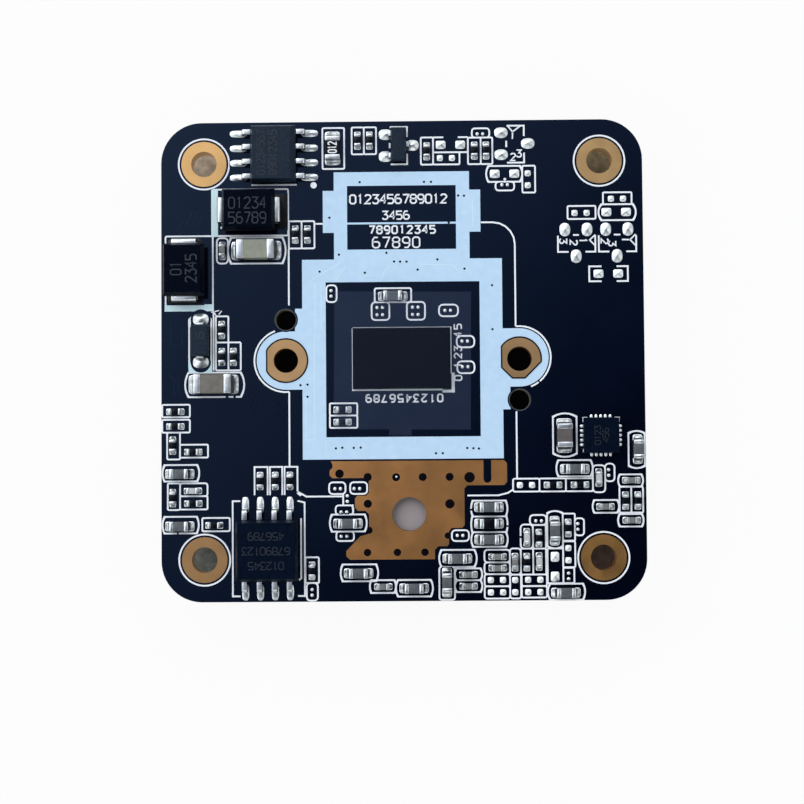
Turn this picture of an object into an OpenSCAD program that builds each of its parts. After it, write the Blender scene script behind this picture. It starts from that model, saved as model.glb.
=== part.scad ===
// Camera circuit module.
// A nearly square two-sided board carries a bare image sensor in the middle of its front, with surge
// protection, memory, power and driver parts round it. The processor, the chokes and the cable
// sockets are on its back, and the module rests on the four sockets.
// Millimetres. +Z is the optical axis and +Y points to the board's top edge. The origin lies on
// the resting plane, under the middle of the board.

/* [Board] */
// Width of the board
board_w = 41.4; // [41.4:0.1:44]
// Height of the board
board_h = 41.2; // [41.2:0.1:44]
// Thickness of the laminate
board_t = 1.6; // [1:0.1:2]
// Radius of the board's corners
board_r = 3.5; // [2.5:0.1:3.8]

/* [Mounting holes] */
// Pitch of the four corner screws
corner_pitch = 34; // [33.5:0.1:34.2]
// Bore of a corner hole, inside its plating
corner_hole_d = 2.2; // [1.6:0.1:2.6]
// Gold ring round a corner hole
corner_ring_d = 3.9; // [3.2:0.05:4]
// Pitch of the two lens holder screws
lens_pitch = 20; // [19.8:0.05:20.2]
// Bore of a lens holder hole, inside its plating
lens_hole_d = 2.1; // [1.6:0.1:2.3]
// Gold ring round a lens holder hole
lens_ring_d = 3.65; // [3.2:0.05:3.7]
// Bore of a hole for a locating peg
peg_hole_d = 1.75; // [1.4:0.05:1.8]
// Height of a peg hole's centre above or below the lens screws
peg_rise = 3.5; // [3.4:0.1:3.6]
// Bore of the ground hole
ground_hole_d = 2.9; // [2.4:0.1:3.2]
// Thickness of the plating in a hole
plating_t = 0.05; // [0.03:0.01:0.08]

/* [Layers] */
// Thickness of copper with its gold or tin
land_t = 0.05; // [0.03:0.01:0.08]
// Thickness of solder on a land with no part
solder_t = 0.1; // [0.06:0.01:0.15]
// Thickness of the printed ink
print_t = 0.03; // [0.02:0.01:0.05]
// Width of a printed line
line_w = 0.14; // [0.12:0.01:0.2]

/* [Image sensor] */
// Length of the sensor
sensor_w = 8.35; // [7.8:0.05:8.4]
// Width of the sensor
sensor_h = 5.25; // [4.8:0.05:5.3]
// Height of the solder balls under it
ball_h = 0.2; // [0.15:0.01:0.25]
// Thickness of the silicon
die_t = 0.3; // [0.25:0.01:0.35]
// Thickness of the cover glass
glass_t = 0.4; // [0.35:0.01:0.5]
// Side of the protective film
film_w = 11.65; // [11:0.05:12]
// Thickness of the film
film_t = 0.06; // [0.05:0.01:0.1]

/* [Cable sockets] */
// Height of a socket, which is the gap under the board
socket_h = 4.2; // [3.8:0.1:5]
// Depth of a socket's housing
socket_d = 4; // [3.8:0.1:4.4]
// Pitch of its contacts
socket_pitch = 1.25; // [1.25:0.01:1.27]
// Thickness of its walls
socket_wall = 0.6; // [0.5:0.05:0.7]

/* [Hidden] */
$fn = 48;

front_z = socket_h + board_t;
gold = [0.78, 0.6, 0.38];
tin = [0.83, 0.84, 0.86];
ink = [0.8, 0.89, 0.96];
mould = [0.08, 0.09, 0.11];

// ---------- Where the parts are: [x, y, turn] of each part's middle, seen from the front ----------
surge_filter_at = [-10.95, 17.7, 0];
flash_memory_at = [-11.6, -16.2, 90];
flash_lands_at = [-11.6, -16.05, 90];
surge_diodes_at = [[-13.05, 12.85, 0], [-18.6, 7.75, 90]];
surge_diode_lands_at = [[-12.7, 12.85, 0], [-18.6, 7.75, 90]];
small_diode_at = [-17.3, 1.75, 90];
transistor_at = [-0.2, 18.48, 0];
driver_chip_at = [16.88, -6.6, 0];
input_capacitors_at = [[-12.5, 9.5, 0], [-16.2, -2, 0]];
bulk_capacitor_at = [13.75, -6.6, 90];
fuse_resistor_at = [-5.9, 18.28, 90];
bead_at = [7.27, -14.05, 0];
bare_transistors_at = [[9.75, 18.55, 0], [14.95, 9.92, -90], [18.45, 9.92, -90]];
capacitors_0603_at = [
    [-19.12, -9.65, 0], [-19.12, -14.12, 0], [-4.75, -13.97, 0], [-3.87, -18.2, 0],
    [0.85, -19.5, 0], [4.55, -17, 0], [3.65, -19.02, 90], [7.27, -12.65, 0],
    [7.27, -15.4, 0], [14.62, -9.45, 0], [12.85, -14.7, 90], [13.75, -19.95, 0],
    [20, -7.8, 90], [-0.8, 5.45, 0]
];
bare_0603_at = [
    [4.25, 18.5, 0], [8.88, 15.95, 0], [18.42, 12.55, 0], [17.68, 7.25, 0], [12.85, -17.75, 90]
];
resistors_0402_at = [
    [-9.15, 10.85, 90], [-8.1, 10.85, 90], [-3.75, 18.93, 90], [-2.72, 18.93, 90],
    [2.2, 17.95, 90], [6.3, 17.97, 90], [7.3, 17.97, 90], [-15.5, 2.68, 90],
    [-15.5, 0.35, 90], [-14.5, 0.35, 90], [-19.5, -4.32, 0], [-19.5, -5.58, 0],
    [-19.72, -7.22, 90], [-17.97, -7.78, 0], [-19.72, -11.7, 90], [-17.97, -12.18, 0],
    [-16.17, -14.05, 0], [-12.25, -10.3, 90], [-10.95, -10.3, 90], [-9.7, -10.3, 90],
    [-7.85, -17.97, 90], [12.75, -10.8, 0], [15.05, -10.8, 0], [18.9, -12.18, 90],
    [19.95, -12.18, 90], [10.45, -17.35, 90], [11.5, -15.32, 90], [14, -14.47, 90],
    [-5.17, -4.25, 0], [-5.17, -5.3, 0]
];
capacitors_0402_at = [
    [-15.42, 9.5, 90], [-18, -11.1, 0], [16.65, -10.2, 90], [19.42, -10.45, 0],
    [19.42, -13.85, 0], [17.2, -12.67, 0], [7.98, -16.87, 0], [7.98, -17.83, 0],
    [9.45, -17.35, 90], [10.47, -15.25, 90], [11.5, -17.3, 90], [5.48, -18.37, 0],
    [5.48, -19.35, 0], [-1.77, -19.35, 0]
];
bare_0402_at = [
    [3.85, 17.35, 0], [10.87, 15.45, 90], [18.5, 13.7, 0], [15.37, 12.5, 0],
    [10.45, -10.8, 0], [7.9, -18.85, 0], [7.9, -19.9, 0], [9.45, -19.38, 90],
    [11.07, -18.85, 0], [11.07, -19.9, 0], [14, -16.7, 90]
];
bare_0201_at = [
    [6.8, 19.42, 0], [8.88, 15, 0], [-5.62, -11, 0], [-3.98, -11, 0], [-4.8, -11.85, 90],
    [-5.1, -13, 0], [-5.1, -15.05, 0], [4.8, -15.05, 0], [-7.85, -19.8, 90],
    [11.5, -13.85, 0], [14.82, -14.35, 90], [14, -18.55, 90], [17.5, -9.78, 90],
    [-6.1, 5.75, 90], [3.9, 4.2, 0], [5.33, 1.55, 0], [5.35, -0.65, 0],
    [-1.92, 4.5, 0], [-1.92, 3.87, 0], [1.12, 4.5, 0], [1.12, 3.87, 0]
];

// Parts on the back, in the same x and y
processor_at = [0, 3, 0];
crystal_at = [-8, 8.2, 0];
chokes_at = [[-11.5, -8.5, 0], [-5.5, -8.5, 0], [11.5, -9, 0]];
regulator_at = [-8.5, -13, 90];
rear_capacitors_0603_at = [[-13, -12.5, 90], [-4.5, -13, 90], [5.5, -8.6, 0], [13.2, 9.5, 90]];
rear_capacitors_0402_at = [
    [-3, 9.6, 0], [-1, 9.6, 0], [1, 9.6, 0], [3, 9.6, 0], [-3, -3.6, 0], [-1, -3.6, 0],
    [1, -3.6, 0], [3, -3.6, 0], [6.8, 5.5, 90], [6.8, 3.5, 90], [-6.8, 2, 90], [-6.8, 0, 90]
];
// Each socket: [x, y, turn, number of contacts]
network_socket = [-17.6, 0.8, 90, 8];
audio_socket = [17.6, 1.2, -90, 4];
lamp_socket = [2.5, 17.6, 0, 3];
shutter_socket = [8.5, -17.6, 180, 2];
sockets = [network_socket, audio_socket, lamp_socket, shutter_socket];

// ---------- Sizes of standard parts ----------
// Two-ended chips: [length, width, height, length of an end, reach of the land from the middle,
// inner edge of the land, width of the land]
chip_0402r = [1, 0.5, 0.35, 0.22, 0.78, 0.26, 0.56];
chip_0402c = [1, 0.5, 0.5, 0.25, 0.78, 0.26, 0.56];
chip_0603 = [1.6, 0.8, 0.8, 0.35, 1.25, 0.45, 0.82];
chip_0805r = [2, 1.25, 0.5, 0.4, 1.46, 0.6, 1.3];
chip_0805c = [2, 1.25, 1.1, 0.45, 1.47, 0.6, 1.3];
chip_1206 = [3.2, 1.6, 1.3, 0.6, 2.15, 1, 1.65];
chip_choke = [4, 4, 2, 0.9, 2.15, 0.9, 3.4];
bare_0402 = [0.52, 0.52, 0.52];
bare_0603 = [0.84, 0.84, 0.72];
bare_0201 = [0.24, 0.26, 0.28];
end_wrap = 0.02;

// Moulded packages: [length, width, height over the standoff, standoff, lean of the sides]
soic_150 = [3.9, 4.9, 1.45, 0.12, 0.22];
soic_208 = [5.2, 5.28, 1.8, 0.12, 0.22];
smb = [4.5, 3.55, 2.05, 0.2, 0.25];
sod = [2.7, 1.55, 1, 0.1, 0.12];
sot = [1.3, 2.92, 0.95, 0.08, 0.1];
soic_pitch = 1.27;
soic_rows = [for (i = [-1.5:1:1.5]) i * soic_pitch];

// Gull-wing leads: [reach from the body, place of the riser, radius, thickness, width]
soic_150_lead = [1.15, 0.68, 0.15, 0.2, 0.42];
soic_208_lead = [1.4, 0.8, 0.18, 0.2, 0.42];
sod_lead = [0.5, 0.16, 0.1, 0.12, 0.6];
sot_lead = [0.58, 0.2, 0.1, 0.12, 0.42];
smb_lead = [0.35, -1, 0.15, 0.2, 2.1];
sot_pitch = 0.95;

driver_side = 3;
driver_pitch = 0.4;
processor_side = 10;
processor_pitch = 0.4;

// ---------- Plain helpers ----------
module rounded_rect(w, h, r) {
    square([w - 2 * r, h], center = true);
    square([w, h - 2 * r], center = true);
    for (sx = [-1, 1], sy = [-1, 1])
        translate([sx * (w / 2 - r), sy * (h / 2 - r)]) circle(r);
}

module block(size, z = 0) {
    translate([-size.x / 2, -size.y / 2, z]) cube(size);
}

module on_front(z = 0) {
    translate([0, 0, front_z + z]) children();
}

module on_back(z = 0) {
    translate([0, 0, socket_h - z]) mirror([0, 0, 1]) children();
}

// Puts its children at one place of a list
module at(place) {
    translate([place.x, place.y, 0]) rotate(place[2]) children();
}

module at_each(places) {
    for (p = places) at(p) children();
}

module both_ends() {
    children();
    rotate(180) children();
}

// Points along an arc
function bend(c, r, from, to, n = 5) =
    [for (i = [0:n]) let (a = from + (to - from) * i / n) c + r * [cos(a), sin(a)]];

function unit_normal(a, b) = [a.y - b.y, b.x - a.x] / norm(b - a);

// Mitred normal of a path at its point i
function side(path, i) = let (
        last = len(path) - 1,
        before = unit_normal(path[max(i - 1, 0)], path[max(i, 1)]),
        after = unit_normal(path[min(i, last - 1)], path[min(i + 1, last)]),
        mid = before + after
    ) mid / (mid * after);

// Outline of a bent strip of thickness t along a path
function ribbon(path, t) = concat(
    [for (i = [0:len(path) - 1]) path[i] + t / 2 * side(path, i)],
    [for (i = [len(path) - 1:-1:0]) path[i] - t / 2 * side(path, i)]
);

// Stands a profile up: its x runs along +X, its y along +Z, and it is w wide along Y
module strip(points, w) {
    rotate([90, 0, 0]) linear_extrude(w, center = true) polygon(points);
}

// ---------- Moulded packages ----------
// Side view of a moulded body, with a flat band where the leads come out
function mould_profile(l, h, lean, band) = [
    [-l / 2 + lean, 0], [l / 2 - lean, 0], [l / 2, h / 2 - band / 2], [l / 2, h / 2 + band / 2],
    [l / 2 - lean, h], [-l / 2 + lean, h], [-l / 2, h / 2 + band / 2], [-l / 2, h / 2 - band / 2]
];

module moulded_body(package, band, mark = [0, 0], mark_d = 0) {
    h = package[2];
    translate([0, 0, land_t + package[3]]) difference() {
        intersection() {
            strip(mould_profile(package.x, h, package[4], band), package.y);
            rotate(90) strip(mould_profile(package.y, h, package[4], band), package.x);
        }
        if (mark_d > 0) translate([mark.x, mark.y, h - 0.08]) cylinder(h = 1, d = mark_d);
    }
}

// Middle of the lead's thickness above the lands
function lead_rise(package) = package[3] + package[2] / 2;

// Out of the body, down, and out along the land
function gull_path(lead, rise) = let (r = lead[2], foot = lead[3] / 2) concat(
    [[0, rise]],
    bend([lead[1] - r, rise - r], r, 90, 0),
    bend([lead[1] + r, foot + r], r, 180, 270),
    [[lead[0], foot]]
);

// Out of the body, down its end, and back under it
function tucked_path(lead, rise) = let (r = lead[2], foot = lead[3] / 2) concat(
    [[0, rise]],
    bend([lead[0] - r, rise - r], r, 90, 0),
    bend([lead[0] - r, foot + r], r, 0, -90),
    [[lead[1], foot]]
);

module gull_row(package, lead, rows) {
    for (y = rows) translate([package.x / 2, y, land_t])
        strip(ribbon(gull_path(lead, lead_rise(package)), lead[3]), lead[4]);
}

module tucked_lead(package, lead) {
    translate([package.x / 2, 0, land_t])
        strip(ribbon(tucked_path(lead, lead_rise(package)), lead[3]), lead[4]);
}

// ---------- Two-ended chips ----------
module chip_body(chip) {
    block([chip[0] - 2 * chip[3], chip[1], chip[2]], land_t + end_wrap);
}

module chip_ends(chip) {
    size = [chip[3], chip[1] + 2 * end_wrap, chip[2] + 2 * end_wrap];
    both_ends() translate([(chip[0] - chip[3]) / 2, 0]) block(size, land_t);
}

module chip_lands(chip) {
    both_ends() translate([(chip[4] + chip[5]) / 2, 0])
        linear_extrude(land_t) rounded_rect(chip[4] - chip[5], chip[6], 0.08);
}

// Solder that runs from the land up the end of a chip
module chip_fillets(chip) {
    run = chip[4] - chip[0] / 2 - 0.03;
    rise = chip[2] * 0.7;
    curve = bend([run, rise], 1, 180, 270, 4);
    hollow = [for (p = curve) [run + (p.x - run) * run, rise + (p.y - rise) * (rise - 0.04)]];
    both_ends() translate([chip[0] / 2, 0, land_t])
        strip(concat([[0, 0]], hollow, [[run, 0]]), chip[1] - 0.06);
}

// Two lands with no part on them: [offset, length, width]
module bare_pair(pad, r) {
    both_ends() translate([pad[0], 0])
        linear_extrude(solder_t) rounded_rect(pad[1], pad[2], r);
}

// ---------- Lands of leaded parts ----------
module land_row(x, rows, size, r = 0.1, t = land_t) {
    for (y = rows) translate([x, y]) linear_extrude(t) rounded_rect(size.x, size.y, r);
}

// Lands of an eight-lead package, from x = inner to x = outer on both sides
module soic_lands(inner, outer) {
    both_ends() land_row((inner + outer) / 2, soic_rows, [outer - inner, 0.6]);
}

module transistor_lands(t) {
    land_row(-1.15, [-sot_pitch, sot_pitch], [1.15, 0.92], 0.42, t);
    land_row(1.15, [0], [1.15, 0.92], 0.42, t);
}

module square_ring_of(count, pitch, offset) {
    for (turn = [0:90:270], i = [0:count - 1])
        rotate(turn) translate([offset, (i - (count - 1) / 2) * pitch]) children();
}

// ---------- Board ----------
module hole_at(x, y, d) {
    translate([x, y, -1]) cylinder(h = front_z + 2, d = d);
}

corner_holes_at = [for (sx = [-1, 1], sy = [-1, 1]) [sx, sy] * corner_pitch / 2];
peg_holes_at = [[-lens_pitch / 2, peg_rise], [lens_pitch / 2, -peg_rise]];
ground_at = [0.48, -13.2];

module circuit_board() {
    color([0.05, 0.08, 0.15]) difference() {
        translate([0, 0, socket_h]) linear_extrude(board_t) rounded_rect(board_w, board_h, board_r);
        for (p = corner_holes_at) hole_at(p.x, p.y, corner_hole_d + 2 * plating_t);
        for (s = [-1, 1]) hole_at(s * lens_pitch / 2, 0, lens_hole_d + 2 * plating_t);
        for (p = peg_holes_at) hole_at(p.x, p.y, peg_hole_d);
        hole_at(ground_at.x, ground_at.y, ground_hole_d);
    }
}

// Plating of a through hole: a barrel with a round ring on the back and its child's shape in front
module eyelet(hole_d, ring_d) {
    translate([0, 0, socket_h - land_t]) difference() {
        union() {
            cylinder(h = board_t + 2 * land_t, d = hole_d + 2 * plating_t);
            cylinder(h = land_t, d = ring_d);
            translate([0, 0, board_t + land_t]) linear_extrude(land_t) children();
        }
        translate([0, 0, -1]) cylinder(h = board_t + 3, d = hole_d);
    }
}

module corner_eyelets() {
    color(gold) for (p = corner_holes_at)
        translate(p) eyelet(corner_hole_d, corner_ring_d) circle(d = corner_ring_d);
}

module lens_ring_left(grow = 0) {
    difference() {
        circle(lens_ring_d / 2 + grow);
        translate([-1.6 - grow - 2, -5]) square([2, 10]);
    }
}

// The right ring is also trimmed low, where the peg hole comes close
module lens_ring_right(grow = 0) {
    low = -1.6 - grow;
    difference() {
        circle(lens_ring_d / 2 + grow);
        translate([-1.48 - grow - 2, -5]) square([2, 10]);
        translate([-5, low - 2]) square([10, 2]);
        translate([-0.6 - 0.4 * grow, low]) rotate(-45) translate([-5, -2]) square([10, 2]);
        translate([0.45 + 0.4 * grow, low]) rotate(45) translate([-5, -2]) square([10, 2]);
    }
}

module lens_eyelet_left() {
    color(gold) translate([-lens_pitch / 2, 0]) eyelet(lens_hole_d, lens_ring_d) lens_ring_left();
}

module lens_eyelet_right() {
    color(gold) translate([lens_pitch / 2, 0]) eyelet(lens_hole_d, lens_ring_d) lens_ring_right();
}

// ---------- Ground pad ----------
ground_outline = [
    [-6.2, -8.65], [8.6, -8.65], [8.85, -8.9], [8.85, -10.5], [8.6, -10.78], [5.45, -10.78],
    [5.2, -11.05], [5.2, -14.15], [5, -14.4], [4.1, -14.4], [3.85, -14.7], [3.85, -15.8],
    [3.7, -15.95], [2.95, -15.95], [2.65, -16.25], [2.65, -17.05], [-4.6, -17.05],
    [-4.9, -16.75], [-4.9, -16.3], [-3.7, -15.05], [-2.95, -14.85], [-2.95, -13.2],
    [-3.25, -12.9], [-3.9, -12.9], [-4.15, -12.6], [-4.15, -11.85], [-3.95, -11.6],
    [-3.2, -11.6], [-2.95, -11.35], [-2.95, -10.1], [-6.05, -10.1], [-6.3, -9.85],
    [-6.3, -9.45], [-6.05, -9.2], [-6.05, -8.95]
];
// Filled vias in the pad: [x, y, radius]
ground_vias = [
    [-5.45, -9.72, 0.37], [-3.05, -10.02, 0.35], [-0.62, -10.05, 0.34], [1.65, -10.05, 0.34],
    [3.95, -10.05, 0.34], [5.65, -10.1, 0.45], [-3.05, -12.3, 0.35], [3.95, -12.35, 0.4],
    [-2.95, -14.55, 0.3], [3.75, -15.05, 0.27], [-3.1, -16.45, 0.32], [-0.55, -16.45, 0.32],
    [1.8, -16.45, 0.32]
];
ground_slot = [6.84, 7.5, -10.25];

module ground_pad() {
    slot_w = ground_slot.y - ground_slot.x;
    color(gold) {
        on_front() linear_extrude(land_t) difference() {
            polygon(ground_outline);
            for (v = ground_vias) translate([v.x, v.y]) circle(v[2]);
            translate([ground_slot.x, ground_slot[2]]) square([slot_w, 3]);
            translate([ground_slot.x + slot_w / 2, ground_slot[2]]) circle(d = slot_w);
            translate(ground_at) circle(d = ground_hole_d);
        }
    }
}

// ---------- Print ----------
frame_x = 8.58;
frame_top = 8.66;
frame_low = -8.5;
lobe_r = 2.5;
right_lobe_rise = 0.12;
ring_gap = 0.1;

// Lobe round a lens screw, with a lug that passes the peg hole
module frame_lobe(lug, shift = 0) {
    difference() {
        union() {
            translate([0, shift]) circle(lobe_r);
            translate([0, shift - lobe_r]) square([lens_pitch / 2 - 8, 2 * lobe_r]);
            translate([0.8, 0]) square([1.2, lug]);
        }
        translate([0, peg_rise]) circle(1.05);
    }
}

module sensor_frame_print() {
    color(ink) on_front() linear_extrude(print_t) difference() {
        union() {
            translate([-frame_x, frame_low]) square([2 * frame_x, frame_top - frame_low]);
            translate([-5.82, frame_top - 1]) square([11.64, 16.2 - frame_top + 1]);
            translate([-6.77, 10.97]) square([13.54, 3.63]);
            translate([-lens_pitch / 2, 0]) frame_lobe(4.45);
            translate([lens_pitch / 2, 0]) rotate(180) frame_lobe(4.32, -right_lobe_rise);
        }
        translate([-6.56, -6.6]) square([13.2, 13.3]);
        translate([-4.68, 11.84]) square([9.35, 3.17]);
        translate([-4.68, 9.5]) square([9.35, 2.18]);
        translate([-lens_pitch / 2, 0]) lens_ring_left(ring_gap);
        translate([lens_pitch / 2, 0]) lens_ring_right(ring_gap);
    }
}

// Printed outlines round parts: [x0, y0, x1, y1, corner radius, or minus the bow of the ends]
outlines = [
    [-16.25, 10.78, -9.75, 14.8, 0.1], [-20.32, 4.4, -16.25, 10.78, 0.1],
    [-15.9, 8.4, -14.95, 10.6, 0.3], [-14.95, 8.38, -9.98, 10.62, -0.28],
    [-9.7, 9.65, -8.6, 12, 0.1], [-8.6, 9.65, -7.5, 12, 0.1], [-6.77, 16.5, -4.9, 20.05, 0.1],
    [-4.25, 17.75, -3.2, 20.08, 0.1], [-3.2, 17.75, -2.15, 20.08, 0.1],
    [1.7, 16.8, 2.75, 19.15, 0.1], [2.75, 17.85, 5.75, 19.15, 0.1], [2.75, 16.8, 5.02, 17.85, 0.1],
    [5.75, 16.8, 6.85, 19.1, 0.1], [6.85, 16.8, 7.85, 19.1, 0.1], [6.1, 19.1, 7.6, 19.9, 0.25],
    [7.3, 15.25, 10.4, 16.62, -0.2], [8.1, 14.5, 9.7, 15.25, 0.25], [10.4, 14.3, 11.5, 16.62, 0.1],
    [17.3, 13.22, 19.75, 14.25, 0.1], [16.9, 11.85, 20.1, 13.22, -0.25], [14.25, 11.98, 16.65, 13.1, 0.1],
    [-18.3, -0.9, -16.4, 3.8, 0.3], [-16, 1.6, -14.93, 3.85, 0.1], [-16, -0.8, -14.93, 1.6, 0.1],
    [-14.93, -0.8, -13.87, 1.6, 0.1], [-18.65, -3.08, -13.58, -0.98, -0.3],
    [-20.62, -4.78, -18.25, -3.72, 0.1], [-20.62, -6.1, -18.25, -5, 0.1],
    [-20.2, -8.4, -19.1, -6.1, 0.1], [-19.1, -8.25, -16.7, -7.15, 0.1],
    [-20.6, -10.28, -17.45, -8.88, -0.18], [-20.15, -12.72, -19.1, -10.45, 0.1],
    [-19.1, -11.55, -16.75, -10.45, 0.2], [-19.1, -12.68, -16.75, -11.55, 0.1],
    [-20.6, -14.72, -17.5, -13.3, -0.18], [-17.2, -14.55, -14.85, -13.42, 0.1],
    [-8.4, -19, -7.25, -16.82, 0.1], [-8.3, -20.5, -7.35, -19, 0.3],
    [-6.35, -11.45, -4.95, -10.45, 0.3], [-4.55, -11.45, -3.1, -10.45, 0.3],
    [-5.8, -13.2, -4.3, -12.42, 0.25], [-6.3, -14.65, -3.15, -13.2, -0.18],
    [-5.75, -15.45, -4.25, -14.65, 0.25], [-5.4, -18.88, -2.2, -17.45, -0.18],
    [-2.92, -19.88, -0.7, -18.8, -0.12], [-0.7, -20.2, 2.45, -18.8, -0.18],
    [3, -17.72, 6.2, -16.27, -0.2], [3, -20.5, 4.32, -17.72, 0.2],
    [4.32, -18.85, 6.65, -17.85, -0.15], [4.32, -19.85, 6.65, -18.85, -0.15],
    [4.1, -15.52, 5.55, -14.6, 0.3], [5.75, -13.45, 8.85, -12.1, -0.15],
    [5.75, -14.78, 8.85, -13.45, -0.1], [5.75, -16.02, 8.85, -14.78, -0.15],
    [6.85, -17.35, 9.02, -16.28, 0.25], [6.85, -18.35, 9.02, -17.35, 0.25],
    [9.02, -18.4, 9.95, -16.18, 0.25], [6.85, -19.38, 9.02, -18.35, 0.2],
    [6.85, -20.42, 9.02, -19.38, 0.2], [9.02, -20.42, 9.95, -18.4, 0.2],
    [9.95, -16.2, 11, -14.15, 0.3], [9.95, -18.4, 11, -16.2, 0.1], [11, -16.2, 12.1, -14.2, 0.1],
    [10.75, -14.2, 12.15, -13.35, 0.3], [11, -18.4, 12.1, -16.2, 0.1],
    [10, -19.38, 12.15, -18.4, 0.15], [10, -20.35, 12.15, -19.38, 0.15],
    [12.22, -16.2, 13.55, -13.02, -0.2], [12.22, -19.15, 13.55, -16.2, 0.1],
    [13.55, -15.55, 14.58, -13.25, 0.1], [14.58, -15.1, 15.35, -13.65, 0.25],
    [13.55, -17.8, 14.58, -15.6, 0.1], [13.55, -19.15, 14.48, -17.85, 0.1],
    [12.22, -20.55, 15.38, -19.2, -0.18], [12.8, -8.42, 14.82, -4.7, -0.3],
    [19.22, -9.42, 20.6, -6.25, -0.2], [13.05, -10.08, 16.15, -8.7, -0.18],
    [16.15, -11.45, 17.2, -9.15, 0.3], [17.2, -10.52, 18, -9.02, 0.3],
    [9.35, -11.35, 11.6, -10.25, 0.15], [11.6, -11.35, 13.85, -10.25, 0.1],
    [13.85, -11.35, 16.15, -10.25, 0.1], [18.3, -10.98, 20.42, -9.95, -0.15],
    [18.4, -13.2, 19.4, -11, 0.1], [19.4, -13.2, 20.4, -11, 0.1],
    [18.25, -14.38, 20.42, -13.32, -0.15], [16.1, -13.2, 18.35, -12.12, -0.15],
    [-6.5, 5, -5.62, 6.45, 0.3], [-2.35, 4.95, 0.78, 6.15, 0.15], [-2.62, 3.42, -1.1, 4.95, 0.3],
    [0.4, 3.42, 1.95, 4.95, 0.3], [3.15, 3.7, 4.78, 4.7, 0.35], [4.65, 1.02, 6.15, 2, 0.35],
    [4.68, -1.2, 6.15, -0.18, 0.35], [-6.25, -4.75, -3.9, -3.7, 0.1], [-6.25, -5.8, -3.9, -4.75, 0.1]
];
// Printed lines: each a list of points
print_lines = [
    [[-12.9, 15.16], [-9, 15.16]],
    [[-0.95, 20.08], [0.52, 20.08], [0.52, 19.2]], [[-0.9, 16.85], [0.52, 16.85], [0.52, 17.75]],
    [[-0.98, 18.7], [-0.98, 18.25]],
    [[9.1, 20.1], [10.57, 20.1], [10.57, 19.2]], [[9.1, 16.9], [10.57, 16.9], [10.57, 17.75]],
    [[9.05, 18.8], [9.05, 18.25]],
    [[14.3, 9.15], [13.4, 9.15], [13.4, 10.55]], [[15.75, 9.15], [16.6, 9.15], [16.6, 10.55]],
    [[14.7, 10.6], [15.2, 10.6]],
    [[17.8, 9.15], [16.9, 9.15], [16.9, 10.55]], [[19.25, 9.15], [20.1, 9.15], [20.1, 10.55]],
    [[18.2, 10.6], [18.75, 10.6]],
    [[17.1, 7.88], [16.05, 7.88], [16.05, 6.6], [17.1, 6.6]],
    [[18.4, 7.88], [19.35, 7.88], [19.35, 6.6], [18.4, 6.6]],
    [[-16.2, 4.3], [-16.2, -0.8]],
    [[-13.95, -12], [-14.6, -12], [-14.6, -20.1], [-13.95, -20.1]],
    [[-9.05, -12], [-8.45, -12.15], [-8.45, -20.1], [-9.05, -20.1]],
    [[-8.76, -13.5], [-8.76, -18.6], [-8.95, -18.75]],
    [[-12.72, -11.5], [-12.72, -9.1], [-11.6, -9.1], [-11.6, -11.5]],
    [[-11.4, -11.5], [-11.4, -9.1], [-10.35, -9.1], [-10.35, -11.5]],
    [[-10.15, -11.5], [-10.15, -9.1], [-9.05, -9.1], [-9.05, -11.2]],
    [[-5.15, -11.45], [-5.15, -12.42]], [[-4.35, -12.35], [-4.3, -13.2]],
    [[15.4, -5.45], [15.4, -5.1], [15.75, -5.1]], [[18.05, -5.1], [18.42, -5.1], [18.42, -5.45]],
    [[15.4, -7.75], [15.4, -8.05]], [[-4.26, 2.74], [4.13, 2.74], [4.13, -1.2]],
    [[-4.26, 2.74], [-4.26, -2.58], [3.4, -2.58]]
];
// Heavier printed fields: [x0, y0, x1, y1]
print_fields = [
    [-16.38, 10.8, -15.8, 14.8], [-20.4, 4.3, -16.17, 4.9], [-18.35, -0.97, -16.33, -0.1], [-18.38, 2.95, -18.15, 3.62],
    [4.18, -2.8, 4.45, -1.15], [3.4, -2.84, 4.45, -2.6]
];
// Short breaks in the print: [x0, y0, x1, y1]
print_gaps = [
    [3.64, 19, 4.9, 19.3], [-15.18, -3.2, -14.93, -2.95], [-14.52, -3.2, -14.3, -2.95],
    [-19.38, -14.85, -19.22, -14.6], [5.6, -12.95, 5.9, -12.78], [8.7, -14.35, 9, -14.2],
    [9.8, -15.3, 10.1, -15.12]
];
lens_outline_x = [-9.72, 9.7];
lens_outline_r = 1.9;

module path_line(points) {
    polygon(ribbon(points, line_w));
}

// Plate with straight long sides and ends that bow outward
module barrel(w, h, bow) {
    if (h > w) rotate(90) barrel(h, w, bow);
    else {
        r = (h * h / 4 + bow * bow) / (2 * bow);
        half = asin(h / 2 / r);
        end = bend([w / 2 - r, 0], r, -half, half, 6);
        polygon(concat(end, [for (p = end) -p]));
    }
}

module outline_shape(w, h, corner) {
    if (corner < 0) barrel(w, h, -corner);
    else rounded_rect(w, h, corner, $fn = 12);
}

module outline_box(b) {
    w = b[2] - b[0];
    h = b[3] - b[1];
    grow = b[4] < 0 ? 0 : line_w / 2;
    translate([(b[0] + b[2]) / 2, (b[1] + b[3]) / 2]) difference() {
        outline_shape(w + line_w, h + line_w, b[4] + grow);
        outline_shape(w - line_w, h - line_w, b[4] < 0 ? b[4] : max(b[4] - grow, 0.03));
    }
}

module ring_line(r, from, to) {
    path_line(bend([0, 0], r, from, to, round((to - from) / 8)));
}

module circle_line(r) {
    difference() {
        circle(r + line_w / 2);
        circle(r - line_w / 2);
    }
}

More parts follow.
